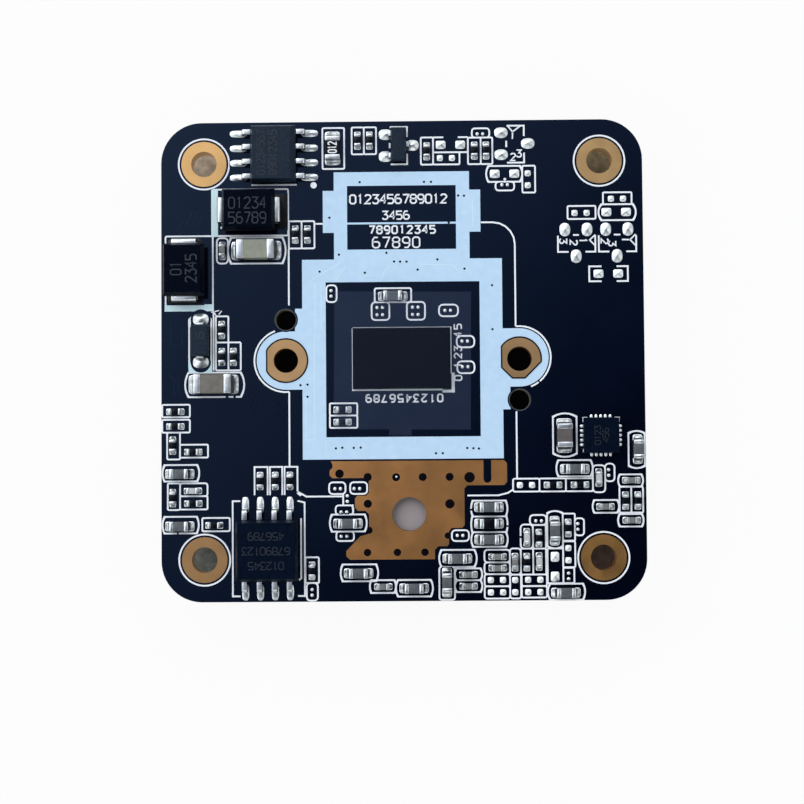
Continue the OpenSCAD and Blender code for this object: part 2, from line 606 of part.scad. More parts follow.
// Outline of the lens holder: straight sides, round corners and a lobe round each screw
module lens_outline() {
    left = lens_outline_x[0];
    right = lens_outline_x[1];
    r = lens_outline_r;
    path_line([[left, 9.65], [left, 4.75]]);
    path_line([[-7.4, 11.76], [-6.75, 11.76]]);
    path_line(concat([[6.8, 11.76]], bend([right - r, 11.76 - r], r, 90, 0), [[right, 2.8]]));
    path_line([[left, -2.7], [left, -9.1]]);
    path_line([[-9, -11.25], [-8.3, -11.65], [-5.2, -11.65]]);
    path_line([[right, -4.5], [right, -10.2]]);
    path_line([[9.3, -11.2], [8.9, -11.45], [8.1, -11.65], [5.45, -11.65]]);
    translate([-lens_pitch / 2, 0]) ring_line(2.7, 110, 276);
    translate([lens_pitch / 2, right_lobe_rise]) {
        ring_line(2.68, -50, 96);
        ring_line(2.68, -69, -53);
    }
}

module front_lines() {
    for (b = outlines) outline_box(b);
    for (points = print_lines) path_line(points);
    for (f = print_fields) translate([f[0], f[1]]) square([f[2] - f[0], f[3] - f[1]]);
    for (p = corner_holes_at) translate(p) circle_line(2.18);
    translate([-7.55, 15.1]) circle(0.27);
    lens_outline();
}

module rear_lines() {
    for (s = sockets) at(s) outline_box(socket_outline(s[3]));
    at(processor_at) difference() {
        outline_box([-5.6, -5.6, 5.6, 5.6, 0.1]);
        square([9.6, 12], center = true);
        square([12, 9.6], center = true);
    }
    for (c = chokes_at) at(c) outline_box([-2.45, -2.3, 2.45, 2.3, 0.3]);
    translate([-5.3, 8.8]) circle(0.25);
}

// Drops slivers of ink that are too thin to print
module printable() {
    offset(delta = 0.01) offset(delta = -0.01) children();
}

// Ink stops short of lands, so that no line runs under a part's solder
module outline_print() {
    color([0.93, 0.95, 0.98]) {
        on_front() linear_extrude(print_t) printable() difference() {
            front_lines();
            front_keep_clear();
        }
        on_back() linear_extrude(print_t) printable() difference() {
            rear_lines();
            rear_keep_clear();
        }
    }
}

// ---------- Lands and solder ----------
module front_part_lands() {
    at_each(resistors_0402_at) chip_lands(chip_0402r);
    at_each(capacitors_0402_at) chip_lands(chip_0402c);
    at_each(capacitors_0603_at) chip_lands(chip_0603);
    at(bead_at) chip_lands(chip_0603);
    at_each(input_capacitors_at) chip_lands(chip_1206);
    at(bulk_capacitor_at) chip_lands(chip_0805c);
    at(fuse_resistor_at) chip_lands(chip_0805r);
    at(surge_filter_at) soic_lands(2.3, 3.8);
    at(flash_lands_at) soic_lands(3, 4.4);
    at_each(surge_diode_lands_at) both_ends() land_row(2.1, [0], [1.55, 3.1]);
    at(small_diode_at) both_ends() land_row(1.85, [0], [1, 1.35], 0.48);
    at(transistor_at) transistor_lands(land_t);
    at(driver_chip_at) square_ring_of(5, driver_pitch, 1.57) chip_lead_land([0.44, 0.24]);
    square_grid_of_balls() linear_extrude(land_t) circle(0.15);
}

module rear_part_lands() {
    at_each(rear_capacitors_0402_at) chip_lands(chip_0402c);
    at_each(rear_capacitors_0603_at) chip_lands(chip_0603);
    at_each(chokes_at) chip_lands(chip_choke);
    at(processor_at) square_ring_of(22, processor_pitch, 5.05) chip_lead_land([0.6, 0.22]);
    at(crystal_at) crystal_lands();
    at(regulator_at) both_ends() land_row(1.2, [-sot_pitch, 0, sot_pitch], [0.9, 0.6], 0.2);
    for (s = sockets) at(s) socket_lands(s[3]);
}

module chip_lead_land(size) {
    linear_extrude(land_t) rounded_rect(size.x, size.y, size.y / 2 - 0.01);
}

module part_lands() {
    color(tin) {
        on_front() front_part_lands();
        on_back() rear_part_lands();
    }
}

module bare_lands() {
    color(tin) on_front() {
        at_each(bare_0402_at) bare_pair(bare_0402, 0.16);
        at_each(bare_0603_at) bare_pair(bare_0603, 0.1);
        at_each(bare_0201_at) bare_pair(bare_0201, 0.125);
        at_each(bare_transistors_at) transistor_lands(solder_t);
    }
}

module solder_fillets() {
    color(tin) {
        on_front() {
            at_each(resistors_0402_at) chip_fillets(chip_0402r);
            at_each(capacitors_0402_at) chip_fillets(chip_0402c);
            at_each(capacitors_0603_at) chip_fillets(chip_0603);
            at(bead_at) chip_fillets(chip_0603);
            at_each(input_capacitors_at) chip_fillets(chip_1206);
            at(bulk_capacitor_at) chip_fillets(chip_0805c);
            at(fuse_resistor_at) chip_fillets(chip_0805r);
        }
        on_back() {
            at_each(rear_capacitors_0402_at) chip_fillets(chip_0402c);
            at_each(rear_capacitors_0603_at) chip_fillets(chip_0603);
        }
    }
}

// What the front print keeps clear of
module front_keep_clear() {
    clear = 0.05;
    for (list = [resistors_0402_at, capacitors_0402_at, bare_0402_at])
        at_each(list) both_ends() translate([0.52, 0]) square([0.52, 0.56] + 2 * [clear, clear], center = true);
    for (list = [capacitors_0603_at, [bead_at], bare_0603_at])
        at_each(list) both_ends() translate([0.85, 0]) square([0.86, 0.82] + 2 * [clear, clear], center = true);
    at_each(bare_0201_at) both_ends() translate([bare_0201[0], 0]) square(0.4, center = true);
    at_each(concat([transistor_at], bare_transistors_at)) {
        for (p = [[-1.15, -sot_pitch], [-1.15, sot_pitch], [1.15, 0]])
            translate(p) square([1.25, 1.02], center = true);
    }
    at_each(surge_diode_lands_at) square([5.85, 3.25], center = true);
    at(small_diode_at) {
        square([3.2, 1.4], center = true);
        both_ends() translate([1.85, 0]) circle(0.87);
    }
    for (y = soic_rows) {
        at(surge_filter_at) both_ends() translate([3.05, y]) square([1.6, 0.72], center = true);
        at(flash_lands_at) both_ends() translate([3.7, y]) square([1.5, 0.72], center = true);
    }
    at_each(input_capacitors_at) square([4.4, 1.75], center = true);
    at(driver_chip_at) square_ring_of(5, driver_pitch, 1.57) square([0.54, 0.34], center = true);
    for (p = peg_holes_at) translate(p) circle(1);
    for (g = print_gaps) translate([g[0], g[1]]) square([g[2] - g[0], g[3] - g[1]]);
}

module rear_keep_clear() {
    for (s = sockets) at(s) {
        translate([0, socket_tail_y]) square([socket_pitch * s[3], 2], center = true);
        square([socket_length(s[3]) + 2.4, 2.2], center = true);
    }
    at_each(chokes_at) square([4.5, 3.6], center = true);
}

// ---------- Image sensor ----------
ball_pitch = 0.72;
ball_columns = 10;
ball_rows = 7;
sensor_at = [-0.07, 0.08];

module square_grid_of_balls() {
    for (i = [0:ball_columns - 1], j = [0:ball_rows - 1]) {
        x = (i - (ball_columns - 1) / 2) * ball_pitch;
        y = (j - (ball_rows - 1) / 2) * ball_pitch;
        translate([sensor_at.x + x, sensor_at.y + y]) children();
    }
}

module sensor_balls() {
    color(tin) on_front(land_t) square_grid_of_balls() cylinder(h = ball_h, r = 0.15);
}

module sensor_die() {
    color([0.12, 0.12, 0.16]) on_front(land_t + ball_h) translate(sensor_at)
        block([sensor_w, sensor_h, die_t]);
}

module sensor_glass() {
    color([0.1, 0.1, 0.14, 0.6]) on_front(land_t + ball_h + die_t) translate(sensor_at)
        block([sensor_w, sensor_h, glass_t]);
}

// Film laid over the sensor, with a tab to lift it by
module sensor_film() {
    tab_w = 1.9;
    tab_end = -6.5;
    color([0.55, 0.6, 0.7, 0.25]) on_front(land_t + ball_h + die_t + glass_t)
        linear_extrude(film_t) union() {
            translate([-film_w / 2, -6]) square([film_w, film_w + 0.1]);
            translate([-1.1, tab_end]) square([tab_w, 1]);
        }
}

// ---------- Leaded parts on the front ----------
module surge_filter_body() {
    color(mould) on_front() at(surge_filter_at) difference() {
        moulded_body(soic_150, soic_150_lead[3]);
        // Bevel along the edge next to pin 1
        translate([soic_150.x / 2 - 0.12, 0, 1.62]) rotate([0, 45, 0]) cube([0.5, 6, 0.5], center = true);
    }
}

module soic_leads(package, lead) {
    both_ends() gull_row(package, lead, soic_rows);
}

module surge_filter_leads() {
    color(tin) on_front() at(surge_filter_at) soic_leads(soic_150, soic_150_lead);
}

module flash_memory_body() {
    color(mould) on_front() at(flash_memory_at) moulded_body(soic_208, soic_208_lead[3], [2, -2], 0.6);
}

module flash_memory_leads() {
    color(tin) on_front() at(flash_memory_at) soic_leads(soic_208, soic_208_lead);
}

module surge_diode_body(place) {
    color(mould) on_front() at(place) moulded_body(smb, smb_lead[3]);
}

module surge_diode_leads(place) {
    color(tin) on_front() at(place) both_ends() tucked_lead(smb, smb_lead);
}

module small_diode_body() {
    color(mould) on_front() at(small_diode_at) moulded_body(sod, sod_lead[3]);
}

module small_diode_leads() {
    color(tin) on_front() at(small_diode_at) both_ends() gull_row(sod, sod_lead, [0]);
}

module transistor_body() {
    color(mould) on_front() at(transistor_at) moulded_body(sot, sot_lead[3]);
}

module transistor_leads() {
    color(tin) on_front() at(transistor_at) {
        gull_row(sot, sot_lead, [0]);
        rotate(180) gull_row(sot, sot_lead, [-sot_pitch, sot_pitch]);
    }
}

// Leadless package: its terminals show as small blocks along the lower edges
module leadless_body(side, h, count, pitch, terminal, mark) {
    difference() {
        block([side, side, h], land_t);
        square_ring_of(count, pitch, side / 2) block(terminal + [0, 0, 0], land_t);
        translate([mark.x, mark.y, land_t + h - 0.06]) cylinder(h = 1, d = mark[2]);
    }
}

module leadless_terminals(side, count, pitch, terminal) {
    square_ring_of(count, pitch, side / 2 - terminal.x / 4) block([terminal.x / 2, terminal.y, terminal.z], land_t);
}

driver_terminal = [0.7, 0.2, 0.2];
processor_terminal = [0.9, 0.2, 0.2];

module driver_chip_body() {
    color(mould) on_front() at(driver_chip_at)
        leadless_body(driver_side, 0.75, 5, driver_pitch, driver_terminal, [-1, -1, 0.35]);
}

module driver_chip_leads() {
    color(tin) on_front() at(driver_chip_at)
        leadless_terminals(driver_side, 5, driver_pitch, driver_terminal);
}

// ---------- Chips ----------
module input_capacitor_body(place) {
    color([0.62, 0.58, 0.5]) on_front() at(place) chip_body(chip_1206);
}

module input_capacitor_ends(place) {
    color(tin) on_front() at(place) chip_ends(chip_1206);
}

module bulk_capacitor_body() {
    color([0.55, 0.5, 0.45]) on_front() at(bulk_capacitor_at) chip_body(chip_0805c);
}

module bulk_capacitor_ends() {
    color(tin) on_front() at(bulk_capacitor_at) chip_ends(chip_0805c);
}

module fuse_resistor_body() {
    color([0.1, 0.1, 0.12]) on_front() at(fuse_resistor_at) chip_body(chip_0805r);
}

module fuse_resistor_ends() {
    color(tin) on_front() at(fuse_resistor_at) chip_ends(chip_0805r);
}

module capacitor_0603_bodies() {
    color([0.42, 0.42, 0.42]) {
        on_front() at_each(capacitors_0603_at) chip_body(chip_0603);
        on_back() at_each(rear_capacitors_0603_at) chip_body(chip_0603);
    }
}

module bead_0603_body() {
    color([0.15, 0.15, 0.18]) on_front() at(bead_at) chip_body(chip_0603);
}

module chip_0603_ends() {
    color(tin) {
        on_front() at_each(concat(capacitors_0603_at, [bead_at])) chip_ends(chip_0603);
        on_back() at_each(rear_capacitors_0603_at) chip_ends(chip_0603);
    }
}

module resistor_0402_bodies() {
    color([0.04, 0.04, 0.06]) on_front() at_each(resistors_0402_at) chip_body(chip_0402r);
}

module capacitor_0402_bodies() {
    color([0.5, 0.48, 0.44]) {
        on_front() at_each(capacitors_0402_at) chip_body(chip_0402c);
        on_back() at_each(rear_capacitors_0402_at) chip_body(chip_0402c);
    }
}

module chip_0402_ends() {
    color(tin) {
        on_front() {
            at_each(resistors_0402_at) chip_ends(chip_0402r);
            at_each(capacitors_0402_at) chip_ends(chip_0402c);
        }
        on_back() at_each(rear_capacitors_0402_at) chip_ends(chip_0402c);
    }
}

// ---------- Parts on the back ----------
module processor_body() {
    color(mould) on_back() at(processor_at)
        leadless_body(processor_side, 0.85, 22, processor_pitch, processor_terminal, [-4.2, 4.2, 0.6]);
}

module processor_leads() {
    color(tin) on_back() at(processor_at)
        leadless_terminals(processor_side, 22, processor_pitch, processor_terminal);
}

crystal_size = [3.2, 2.5, 0.45];

module crystal_lands() {
    for (sx = [-1, 1], sy = [-1, 1]) translate([sx * 1.15, sy * 0.85])
        linear_extrude(land_t) rounded_rect(1.3, 1.1, 0.1);
}

module crystal_base() {
    color([0.75, 0.72, 0.66]) on_back() at(crystal_at) block(crystal_size, land_t);
}

module crystal_lid() {
    color([0.75, 0.75, 0.76]) on_back() at(crystal_at) translate([0, 0, land_t + crystal_size.z])
        linear_extrude(0.3) rounded_rect(crystal_size.x - 0.3, crystal_size.y - 0.3, 0.35);
}

// Power choke: a pressed block with chamfered corners, standing on its two end straps
module choke_core(place) {
    l = chip_choke[0];
    w = chip_choke[1];
    c = 0.45;
    strap = 0.12;
    color([0.25, 0.25, 0.27]) on_back() at(place) difference() {
        translate([0, 0, land_t]) linear_extrude(chip_choke[2]) polygon([
            [-l / 2 + c, -w / 2], [l / 2 - c, -w / 2], [l / 2, -w / 2 + c], [l / 2, w / 2 - c],
            [l / 2 - c, w / 2], [-l / 2 + c, w / 2], [-l / 2, w / 2 - c], [-l / 2, -w / 2 + c]
        ]);
        both_ends() choke_strap(strap);
    }
}

// A strap runs up the end of the core from the land and under it
module choke_strap(t) {
    l = chip_choke[0];
    w = 2.6;
    translate([l / 2 - t, -w / 2, land_t]) cube([t, w, 1.1]);
    translate([l / 2 - chip_choke[3], -w / 2, land_t]) cube([chip_choke[3], w, t]);
}

module choke_ends() {
    color(tin) on_back() at_each(chokes_at) both_ends() choke_strap(0.12);
}

module regulator_body() {
    color(mould) on_back() at(regulator_at) moulded_body(sot_wide, sot_lead[3]);
}

sot_wide = [1.6, 2.92, 1.05, 0.08, 0.1];

module regulator_leads() {
    color(tin) on_back() at(regulator_at) both_ends()
        gull_row(sot_wide, sot_lead, [-sot_pitch, 0, sot_pitch]);
}

// ---------- Cable sockets ----------
function socket_length(n) = socket_pitch * (n - 1) + 4.25;
function cavity_length(n) = socket_length(n) - 2 * socket_wall - 0.3;
function socket_outline(n) =
    [-socket_length(n) / 2 - 0.25, -socket_d / 2 - 0.25, socket_length(n) / 2 + 0.25, socket_d / 2 + 0.25, 0.1];
socket_tail_y = -2.35;
socket_floor = 1.1;
socket_pin = 0.32;
tail_t = 0.2;
anchor_size = [0.9, 1.6];
key_w = 0.9;

// Box open away from the board, with two keyways in its front wall and a slot for each tail
module socket_housing(s, tint = [0.9, 0.87, 0.78]) {
    n = s[3];
    l = socket_length(n);
    cavity = [cavity_length(n), socket_d - 2 * socket_wall];
    color(tint) on_back() at(s) difference() {
        block([l, socket_d, socket_h - land_t], land_t);
        translate([0, 0, land_t + socket_floor]) block([cavity.x, cavity.y, socket_h]);
        for (sx = [-1, 1]) translate([sx * (cavity.x / 2 - key_w), socket_d / 2 - socket_wall / 2, land_t + socket_floor + 0.8])
            block([key_w, socket_wall + 0.4, socket_h]);
        socket_contact_row(n);
        socket_anchors(n);
    }
}

// Contact: a square pin through the floor, with a tail along the board
module socket_contact_row(n) {
    for (i = [0:n - 1]) translate([(i - (n - 1) / 2) * socket_pitch, 0, land_t]) {
        block([socket_pin, socket_pin, socket_h - 1]);
        translate([-socket_pin / 2, -socket_d / 2 - 0.8, 0]) cube([socket_pin, socket_d / 2 + 0.8 - socket_pin / 2, tail_t]);
    }
}

// Tinned strips that hold the socket's two ends to the board
module socket_anchors(n) {
    for (s = [-1, 1]) translate([s * (socket_length(n) / 2 + 0.15), 0])
        block([anchor_size.x, anchor_size.y, tail_t], land_t);
}

module socket_contacts(s) {
    color(tin) on_back() at(s) {
        socket_contact_row(s[3]);
        socket_anchors(s[3]);
    }
}

module socket_lands(n) {
    for (i = [0:n - 1]) translate([(i - (n - 1) / 2) * socket_pitch, socket_tail_y])
        linear_extrude(land_t) rounded_rect(0.6, 1.4, 0.1);
    for (s = [-1, 1]) translate([s * (socket_length(n) / 2 + 0.3), 0])
        linear_extrude(land_t) rounded_rect(1.5, 2, 0.1);
}

// ---------- One line for each node ----------
circuit_board();
corner_eyelets();
lens_eyelet_left();
lens_eyelet_right();
ground_pad();
sensor_frame_print();
outline_print();
bare_lands();
part_lands();
solder_fillets();
sensor_balls();
sensor_die();
sensor_glass();
sensor_film();
surge_filter_body();
surge_filter_leads();
flash_memory_body();
flash_memory_leads();
surge_diode_body(surge_diodes_at[0]);  // surge_diode_1_body
surge_diode_leads(surge_diodes_at[0]);  // surge_diode_1_leads
surge_diode_body(surge_diodes_at[1]);  // surge_diode_2_body
surge_diode_leads(surge_diodes_at[1]);  // surge_diode_2_leads
small_diode_body();
small_diode_leads();
transistor_body();
transistor_leads();
driver_chip_body();
driver_chip_leads();
input_capacitor_body(input_capacitors_at[0]);  // input_capacitor_1_body
input_capacitor_ends(input_capacitors_at[0]);  // input_capacitor_1_ends
input_capacitor_body(input_capacitors_at[1]);  // input_capacitor_2_body
input_capacitor_ends(input_capacitors_at[1]);  // input_capacitor_2_ends
bulk_capacitor_body();
bulk_capacitor_ends();
fuse_resistor_body();
fuse_resistor_ends();
capacitor_0603_bodies();
bead_0603_body();
chip_0603_ends();
resistor_0402_bodies();
capacitor_0402_bodies();
chip_0402_ends();
processor_body();
processor_leads();
crystal_base();
crystal_lid();
choke_core(chokes_at[0]);  // choke_core_1
choke_core(chokes_at[1]);  // choke_core_2
choke_core(chokes_at[2]);  // choke_core_3
choke_ends();
regulator_body();
regulator_leads();
socket_housing(network_socket);  // network_socket_housing
socket_contacts(network_socket);  // network_socket_contacts
socket_housing(audio_socket);  // audio_socket_housing
socket_contacts(audio_socket);  // audio_socket_contacts
socket_housing(lamp_socket);  // lamp_socket_housing
socket_contacts(lamp_socket);  // lamp_socket_contacts
socket_housing(shutter_socket);  // shutter_socket_housing
socket_contacts(shutter_socket);  // shutter_socket_contacts
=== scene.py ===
"""Looks of the camera circuit module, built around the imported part. Metres, +Z is the optical axis."""

import math
import random

import bmesh
import bpy
from mathutils import Matrix, Vector

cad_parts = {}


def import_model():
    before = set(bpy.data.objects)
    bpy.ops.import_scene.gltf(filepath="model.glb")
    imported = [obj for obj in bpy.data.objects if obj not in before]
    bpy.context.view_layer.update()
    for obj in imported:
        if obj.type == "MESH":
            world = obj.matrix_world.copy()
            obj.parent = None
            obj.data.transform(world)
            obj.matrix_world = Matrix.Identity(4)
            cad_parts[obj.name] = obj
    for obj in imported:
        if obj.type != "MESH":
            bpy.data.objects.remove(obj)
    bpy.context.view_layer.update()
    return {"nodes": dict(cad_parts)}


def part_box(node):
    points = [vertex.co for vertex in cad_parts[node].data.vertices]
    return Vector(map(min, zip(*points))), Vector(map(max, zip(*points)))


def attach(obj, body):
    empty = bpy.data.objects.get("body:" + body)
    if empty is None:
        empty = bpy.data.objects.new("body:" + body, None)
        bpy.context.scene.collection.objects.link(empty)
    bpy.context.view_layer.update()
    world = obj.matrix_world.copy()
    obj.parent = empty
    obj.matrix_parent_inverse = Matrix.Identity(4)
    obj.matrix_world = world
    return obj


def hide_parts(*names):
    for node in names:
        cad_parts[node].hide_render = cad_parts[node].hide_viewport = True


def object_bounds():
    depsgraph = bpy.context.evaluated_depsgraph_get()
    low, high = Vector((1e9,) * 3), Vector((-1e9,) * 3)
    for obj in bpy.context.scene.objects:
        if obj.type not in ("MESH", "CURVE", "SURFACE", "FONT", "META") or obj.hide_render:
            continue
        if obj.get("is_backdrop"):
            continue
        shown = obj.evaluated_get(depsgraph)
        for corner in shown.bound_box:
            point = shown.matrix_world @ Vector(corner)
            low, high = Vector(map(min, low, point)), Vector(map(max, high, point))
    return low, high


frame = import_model()
nodes = frame["nodes"]
MM = 0.001
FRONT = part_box("circuit_board")[1][2]
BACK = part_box("circuit_board")[0][2]
HALFWAY = (FRONT + BACK) / 2
SKIRT = 0.02 * MM  # how far a cushion of solder reaches below its rim
PEGS = [(-10, 3.5), (10, -3.5)]  # the peg holes, in mm
MASK_TINT = (0.36, 0.62, 1, 1)
# Places of the chips with a pale body, in mm
PALE = [(-18, -11.1), (16.65, -10.2), (10.47, -15.25), (11.5, -17.3)]
rng = random.Random(7)


# ---------- Materials ----------
def fill(ramp, stops):
    """Sets a colour ramp to the given stops."""
    elements = ramp.color_ramp.elements
    while len(elements) < len(stops):
        elements.new(0.5)
    for element, (place, color) in zip(elements, stops):
        element.position = place
        element.color = (*color, 1)


class Shader:
    """A Principled material whose nodes are added by name."""

    def __init__(self, name, color, rough, metal=0.0, **sockets):
        self.mat = bpy.data.materials.new(name)
        self.mat.use_nodes = True
        self.tree = self.mat.node_tree
        self.bsdf = self.tree.nodes["Principled BSDF"]
        self.put("Base Color", (*color, 1))
        self.put("Roughness", rough)
        self.put("Metallic", metal)
        for key, value in sockets.items():
            self.put(key.replace("_", " "), value)
        self.coords = self.node("ShaderNodeTexCoord").outputs["Object"]

    def put(self, socket, value):
        self.bsdf.inputs[socket].default_value = value

    def node(self, kind, **inputs):
        n = self.tree.nodes.new(kind)
        for key, value in inputs.items():
            self.wire(value, n.inputs[key.replace("_", " ")])
        return n

    def wire(self, value, socket):
        if isinstance(value, bpy.types.NodeSocket):
            self.tree.links.new(value, socket)
        else:
            socket.default_value = value

    def noise(self, scale, detail=3.0, stretch=None):
        vector = self.coords
        if stretch:
            mapping = self.node("ShaderNodeMapping", Vector=vector)
            mapping.inputs["Scale"].default_value = stretch
            vector = mapping.outputs[0]
        n = self.node("ShaderNodeTexNoise", Vector=vector, Scale=scale, Detail=detail, Roughness=0.55)
        return n.outputs["Fac"]

    def ramp(self, value, stops):
        n = self.node("ShaderNodeValToRGB", Fac=value)
        fill(n, stops)
        return n.outputs["Color"]

    def remap(self, value, low, high, to_low=0.0, to_high=1.0, ease="LINEAR"):
        """Carries the range from low to high over to another one, and holds its ends."""
        n = self.node("ShaderNodeMapRange", Value=value, From_Min=low, From_Max=high,
                      To_Min=to_low, To_Max=to_high)
        n.interpolation_type = ease
        return n.outputs[0]

    def math(self, operation, a, b=0.0):
        n = self.tree.nodes.new("ShaderNodeMath")
        n.operation = operation
        self.wire(a, n.inputs[0])
        self.wire(b, n.inputs[1])
        return n.outputs[0]

    def mix(self, factor, a, b):
        n = self.tree.nodes.new("ShaderNodeMix")
        n.data_type = "RGBA"
        self.wire(factor, n.inputs[0])
        self.wire(a if not isinstance(a, tuple) else (*a, 1), n.inputs[6])
        self.wire(b if not isinstance(b, tuple) else (*b, 1), n.inputs[7])
        return n.outputs[2]

    def distance(self, x, y, z=0.0):
        """Distance in metres from a point at x and y in mm and z in metres."""
        gap = self.node("ShaderNodeVectorMath", Vector=self.coords)
        gap.operation = "DISTANCE"
        gap.inputs[1].default_value = (x * MM, y * MM, z)
        return gap.outputs["Value"]

    def within(self, x, y, reach, z=0.0):
        """1 within a distance in mm of a point, else 0."""
        return self.math("LESS_THAN", self.distance(x, y, z), reach * MM)

    def inside(self, x0, y0, x1, y1):
        """1 in a rectangle in mm, else 0."""
        place = self.node("ShaderNodeSeparateXYZ", Vector=self.coords).outputs
        limits = (("GREATER_THAN", "X", x0), ("LESS_THAN", "X", x1),
                  ("GREATER_THAN", "Y", y0), ("LESS_THAN", "Y", y1))
        tests = [self.math(test, place[axis], edge * MM) for test, axis, edge in limits]
        return self.math("MULTIPLY", self.math("MULTIPLY", tests[0], tests[1]),
                         self.math("MULTIPLY", tests[2], tests[3]))

    def upward(self):
        """Z of the surface's direction: 1 on a flat top."""
        normal = self.node("ShaderNodeNewGeometry").outputs["Normal"]
        return self.node("ShaderNodeSeparateXYZ", Vector=normal).outputs["Z"]

    def color(self, output):
        self.wire(output, self.bsdf.inputs["Base Color"])

    def rough(self, value, low, high):
        self.wire(self.remap(value, 0.3, 0.7, low, high), self.bsdf.inputs["Roughness"])

    def bump(self, height, strength, depth):
        n = self.node("ShaderNodeBump", Height=height, Strength=strength, Distance=depth)
        self.wire(n.outputs["Normal"], self.bsdf.inputs["Normal"])


def speckled(name, dark, light, rough, scale, metal=0.0, spread=0.2, bump=0.2, depth=2e-5, **sockets):
    """A material with fine colour variation, uneven gloss and a little relief."""
    s = Shader(name, dark, sum(rough) / 2, metal, **sockets)
    fine = s.noise(scale)
    s.color(s.ramp(fine, [(0.5 - spread, dark), (0.5 + spread, light)]))
    s.rough(s.noise(scale * 0.37), *rough)
    s.bump(fine, bump, depth)
    return s.mat


def solder_mask():
    """Dark blue lacquer over tracks, with bare laminate on the cut edges."""
    s = Shader("solder_mask", (0.003, 0.006, 0.018), 0.12, Specular_IOR_Level=0.65, Specular_Tint=MASK_TINT)
    lacquer = s.ramp(s.noise(90, 4), [(0.35, (0.0005, 0.0012, 0.0048)), (0.7, (0.0011, 0.0025, 0.0088))])
    side = s.math("LESS_THAN", s.math("ABSOLUTE", s.upward()), 0.985)
    height = s.node("ShaderNodeSeparateXYZ", Vector=s.coords).outputs["Z"]
    layers = s.noise(900, 2, stretch=(0.25, 0.25, 6))
    laminate = s.ramp(layers, [(0.35, (0.1, 0.085, 0.045)), (0.65, (0.2, 0.17, 0.09))])
    skin = s.math("GREATER_THAN", s.math("ABSOLUTE", s.math("SUBTRACT", height, HALFWAY)),
                  (FRONT - BACK) / 2 - 0.05 * MM)
    edge = s.mix(skin, laminate, (0.004, 0.008, 0.02))
    s.color(s.mix(side, lacquer, edge))
    gloss = s.remap(s.noise(350), 0, 1, 0.08, 0.16)
    s.wire(s.math("MAXIMUM", gloss, s.math("MULTIPLY", side, 0.7)), s.bsdf.inputs["Roughness"])
    s.bump(s.noise(260, 4), 0.08, 2e-5)
    return s.mat


def printed_ink(name, dark, light, wide=(), wide_color=None):
    """Ink, with another colour where it covers whole rectangles."""
    s = Shader(name, light, 0.5)
    fine = s.noise(1500)
    tint = s.ramp(fine, [(0.3, dark), (0.7, light)])
    for field in wide:
        tint = s.mix(s.inside(*field), tint, wide_color)
    s.color(tint)
    s.rough(s.noise(555), 0.45, 0.6)
    s.bump(fine, 0.25, 1e-5)
    return s.mat


def solder(name, rough=(0.32, 0.44), scale=1400, dark=0.8, light=1.0):
    """Satin metal with painted shade where it stands steep; dark and light scale its two tones."""
    s = Shader(name, (0.7, 0.76, 0.78), sum(rough) / 2, 1.0)
    fine = s.noise(scale)
    tone = Vector((0.84, 0.91, 0.93))
    skin = s.ramp(fine, [(0.36, tuple(dark * tone)), (0.64, tuple(light * tone))])
    # Painted shade: the colour falls to nearly black where the surface stands steep.
    flat = s.remap(s.math("ABSOLUTE", s.upward()), 0.3, 0.66)
    s.color(s.mix(flat, tuple(0.08 * light * tone), skin))
    s.rough(s.noise(scale * 0.37), *rough)
    s.bump(fine, 0.3, 3e-5)
    return s.mat


def gold_plate(name, color, corners=()):
    """Gold over nickel, tinted a little differently from place to place."""
    s = Shader(name, color, 0.31, 1.0)
    grain, tint = s.noise(1100), color
    for x, y, other in corners:
        tint = s.mix(s.within(x, y, 4, FRONT), tint, other)
    s.color(s.mix(s.math("MULTIPLY", grain, 0.12), tint, (0.5, 0.28, 0.1)))
    s.rough(s.noise(400), 0.27, 0.35)
    s.bump(grain, 0.05, 1e-5)
    return s.mat


def moulded(name, dark, light, rough=(0.35, 0.5), level=0.05):
    """Black moulding compound; level is how much it shines."""
    return speckled(name, dark, light, rough, 5200, bump=0.3, depth=1.5e-5, Specular_IOR_Level=level)


def ceramic(name, dark, light):
    """Fired body of a chip capacitor."""
    return speckled(name, dark, light, (0.35, 0.5), 2600, bump=0.15, depth=1e-5)


def pill_ceramic():
    """Grey chips, a few of them nearly white."""
    s = Shader("pill", (0.16, 0.17, 0.165), 0.42)
    grain = s.noise(2600)
    tint = s.ramp(grain, [(0.3, (0.13, 0.145, 0.14)), (0.7, (0.2, 0.215, 0.21))])
    for x, y in PALE:
        tint = s.mix(s.within(x, y, 0.9, FRONT), tint, (0.5, 0.53, 0.53))
    s.color(tint)
    s.bump(grain, 0.15, 1e-5)
    return s.mat


def film_material():
    """Clear film: only its top and sides are seen, and hardly at all over the sensor."""
    s = Shader("film", (0.08, 0.115, 0.215), 0.3, Specular_IOR_Level=0.15)
    grain = s.noise(420, 4)
    s.color(s.ramp(grain, [(0.35, (0.075, 0.11, 0.205)), (0.65, (0.085, 0.12, 0.22))]))
    s.rough(grain, 0.25, 0.4)
    up = s.upward()
    top = s.math("GREATER_THAN", up, 0.5)
    side = s.math("LESS_THAN", s.math("ABSOLUTE", up), 0.5)
    sensor = s.inside(-4.2, -2.6, 4.28, 2.78)
    alpha = s.math("MULTIPLY", top, s.math("SUBTRACT", 0.085, s.math("MULTIPLY", sensor, 0.05)))
    s.wire(s.math("ADD", alpha, s.math("MULTIPLY", side, 0.4)), s.bsdf.inputs["Alpha"])
    s.bump(s.noise(60, 2), 0.2, 1e-4)
    return s.mat


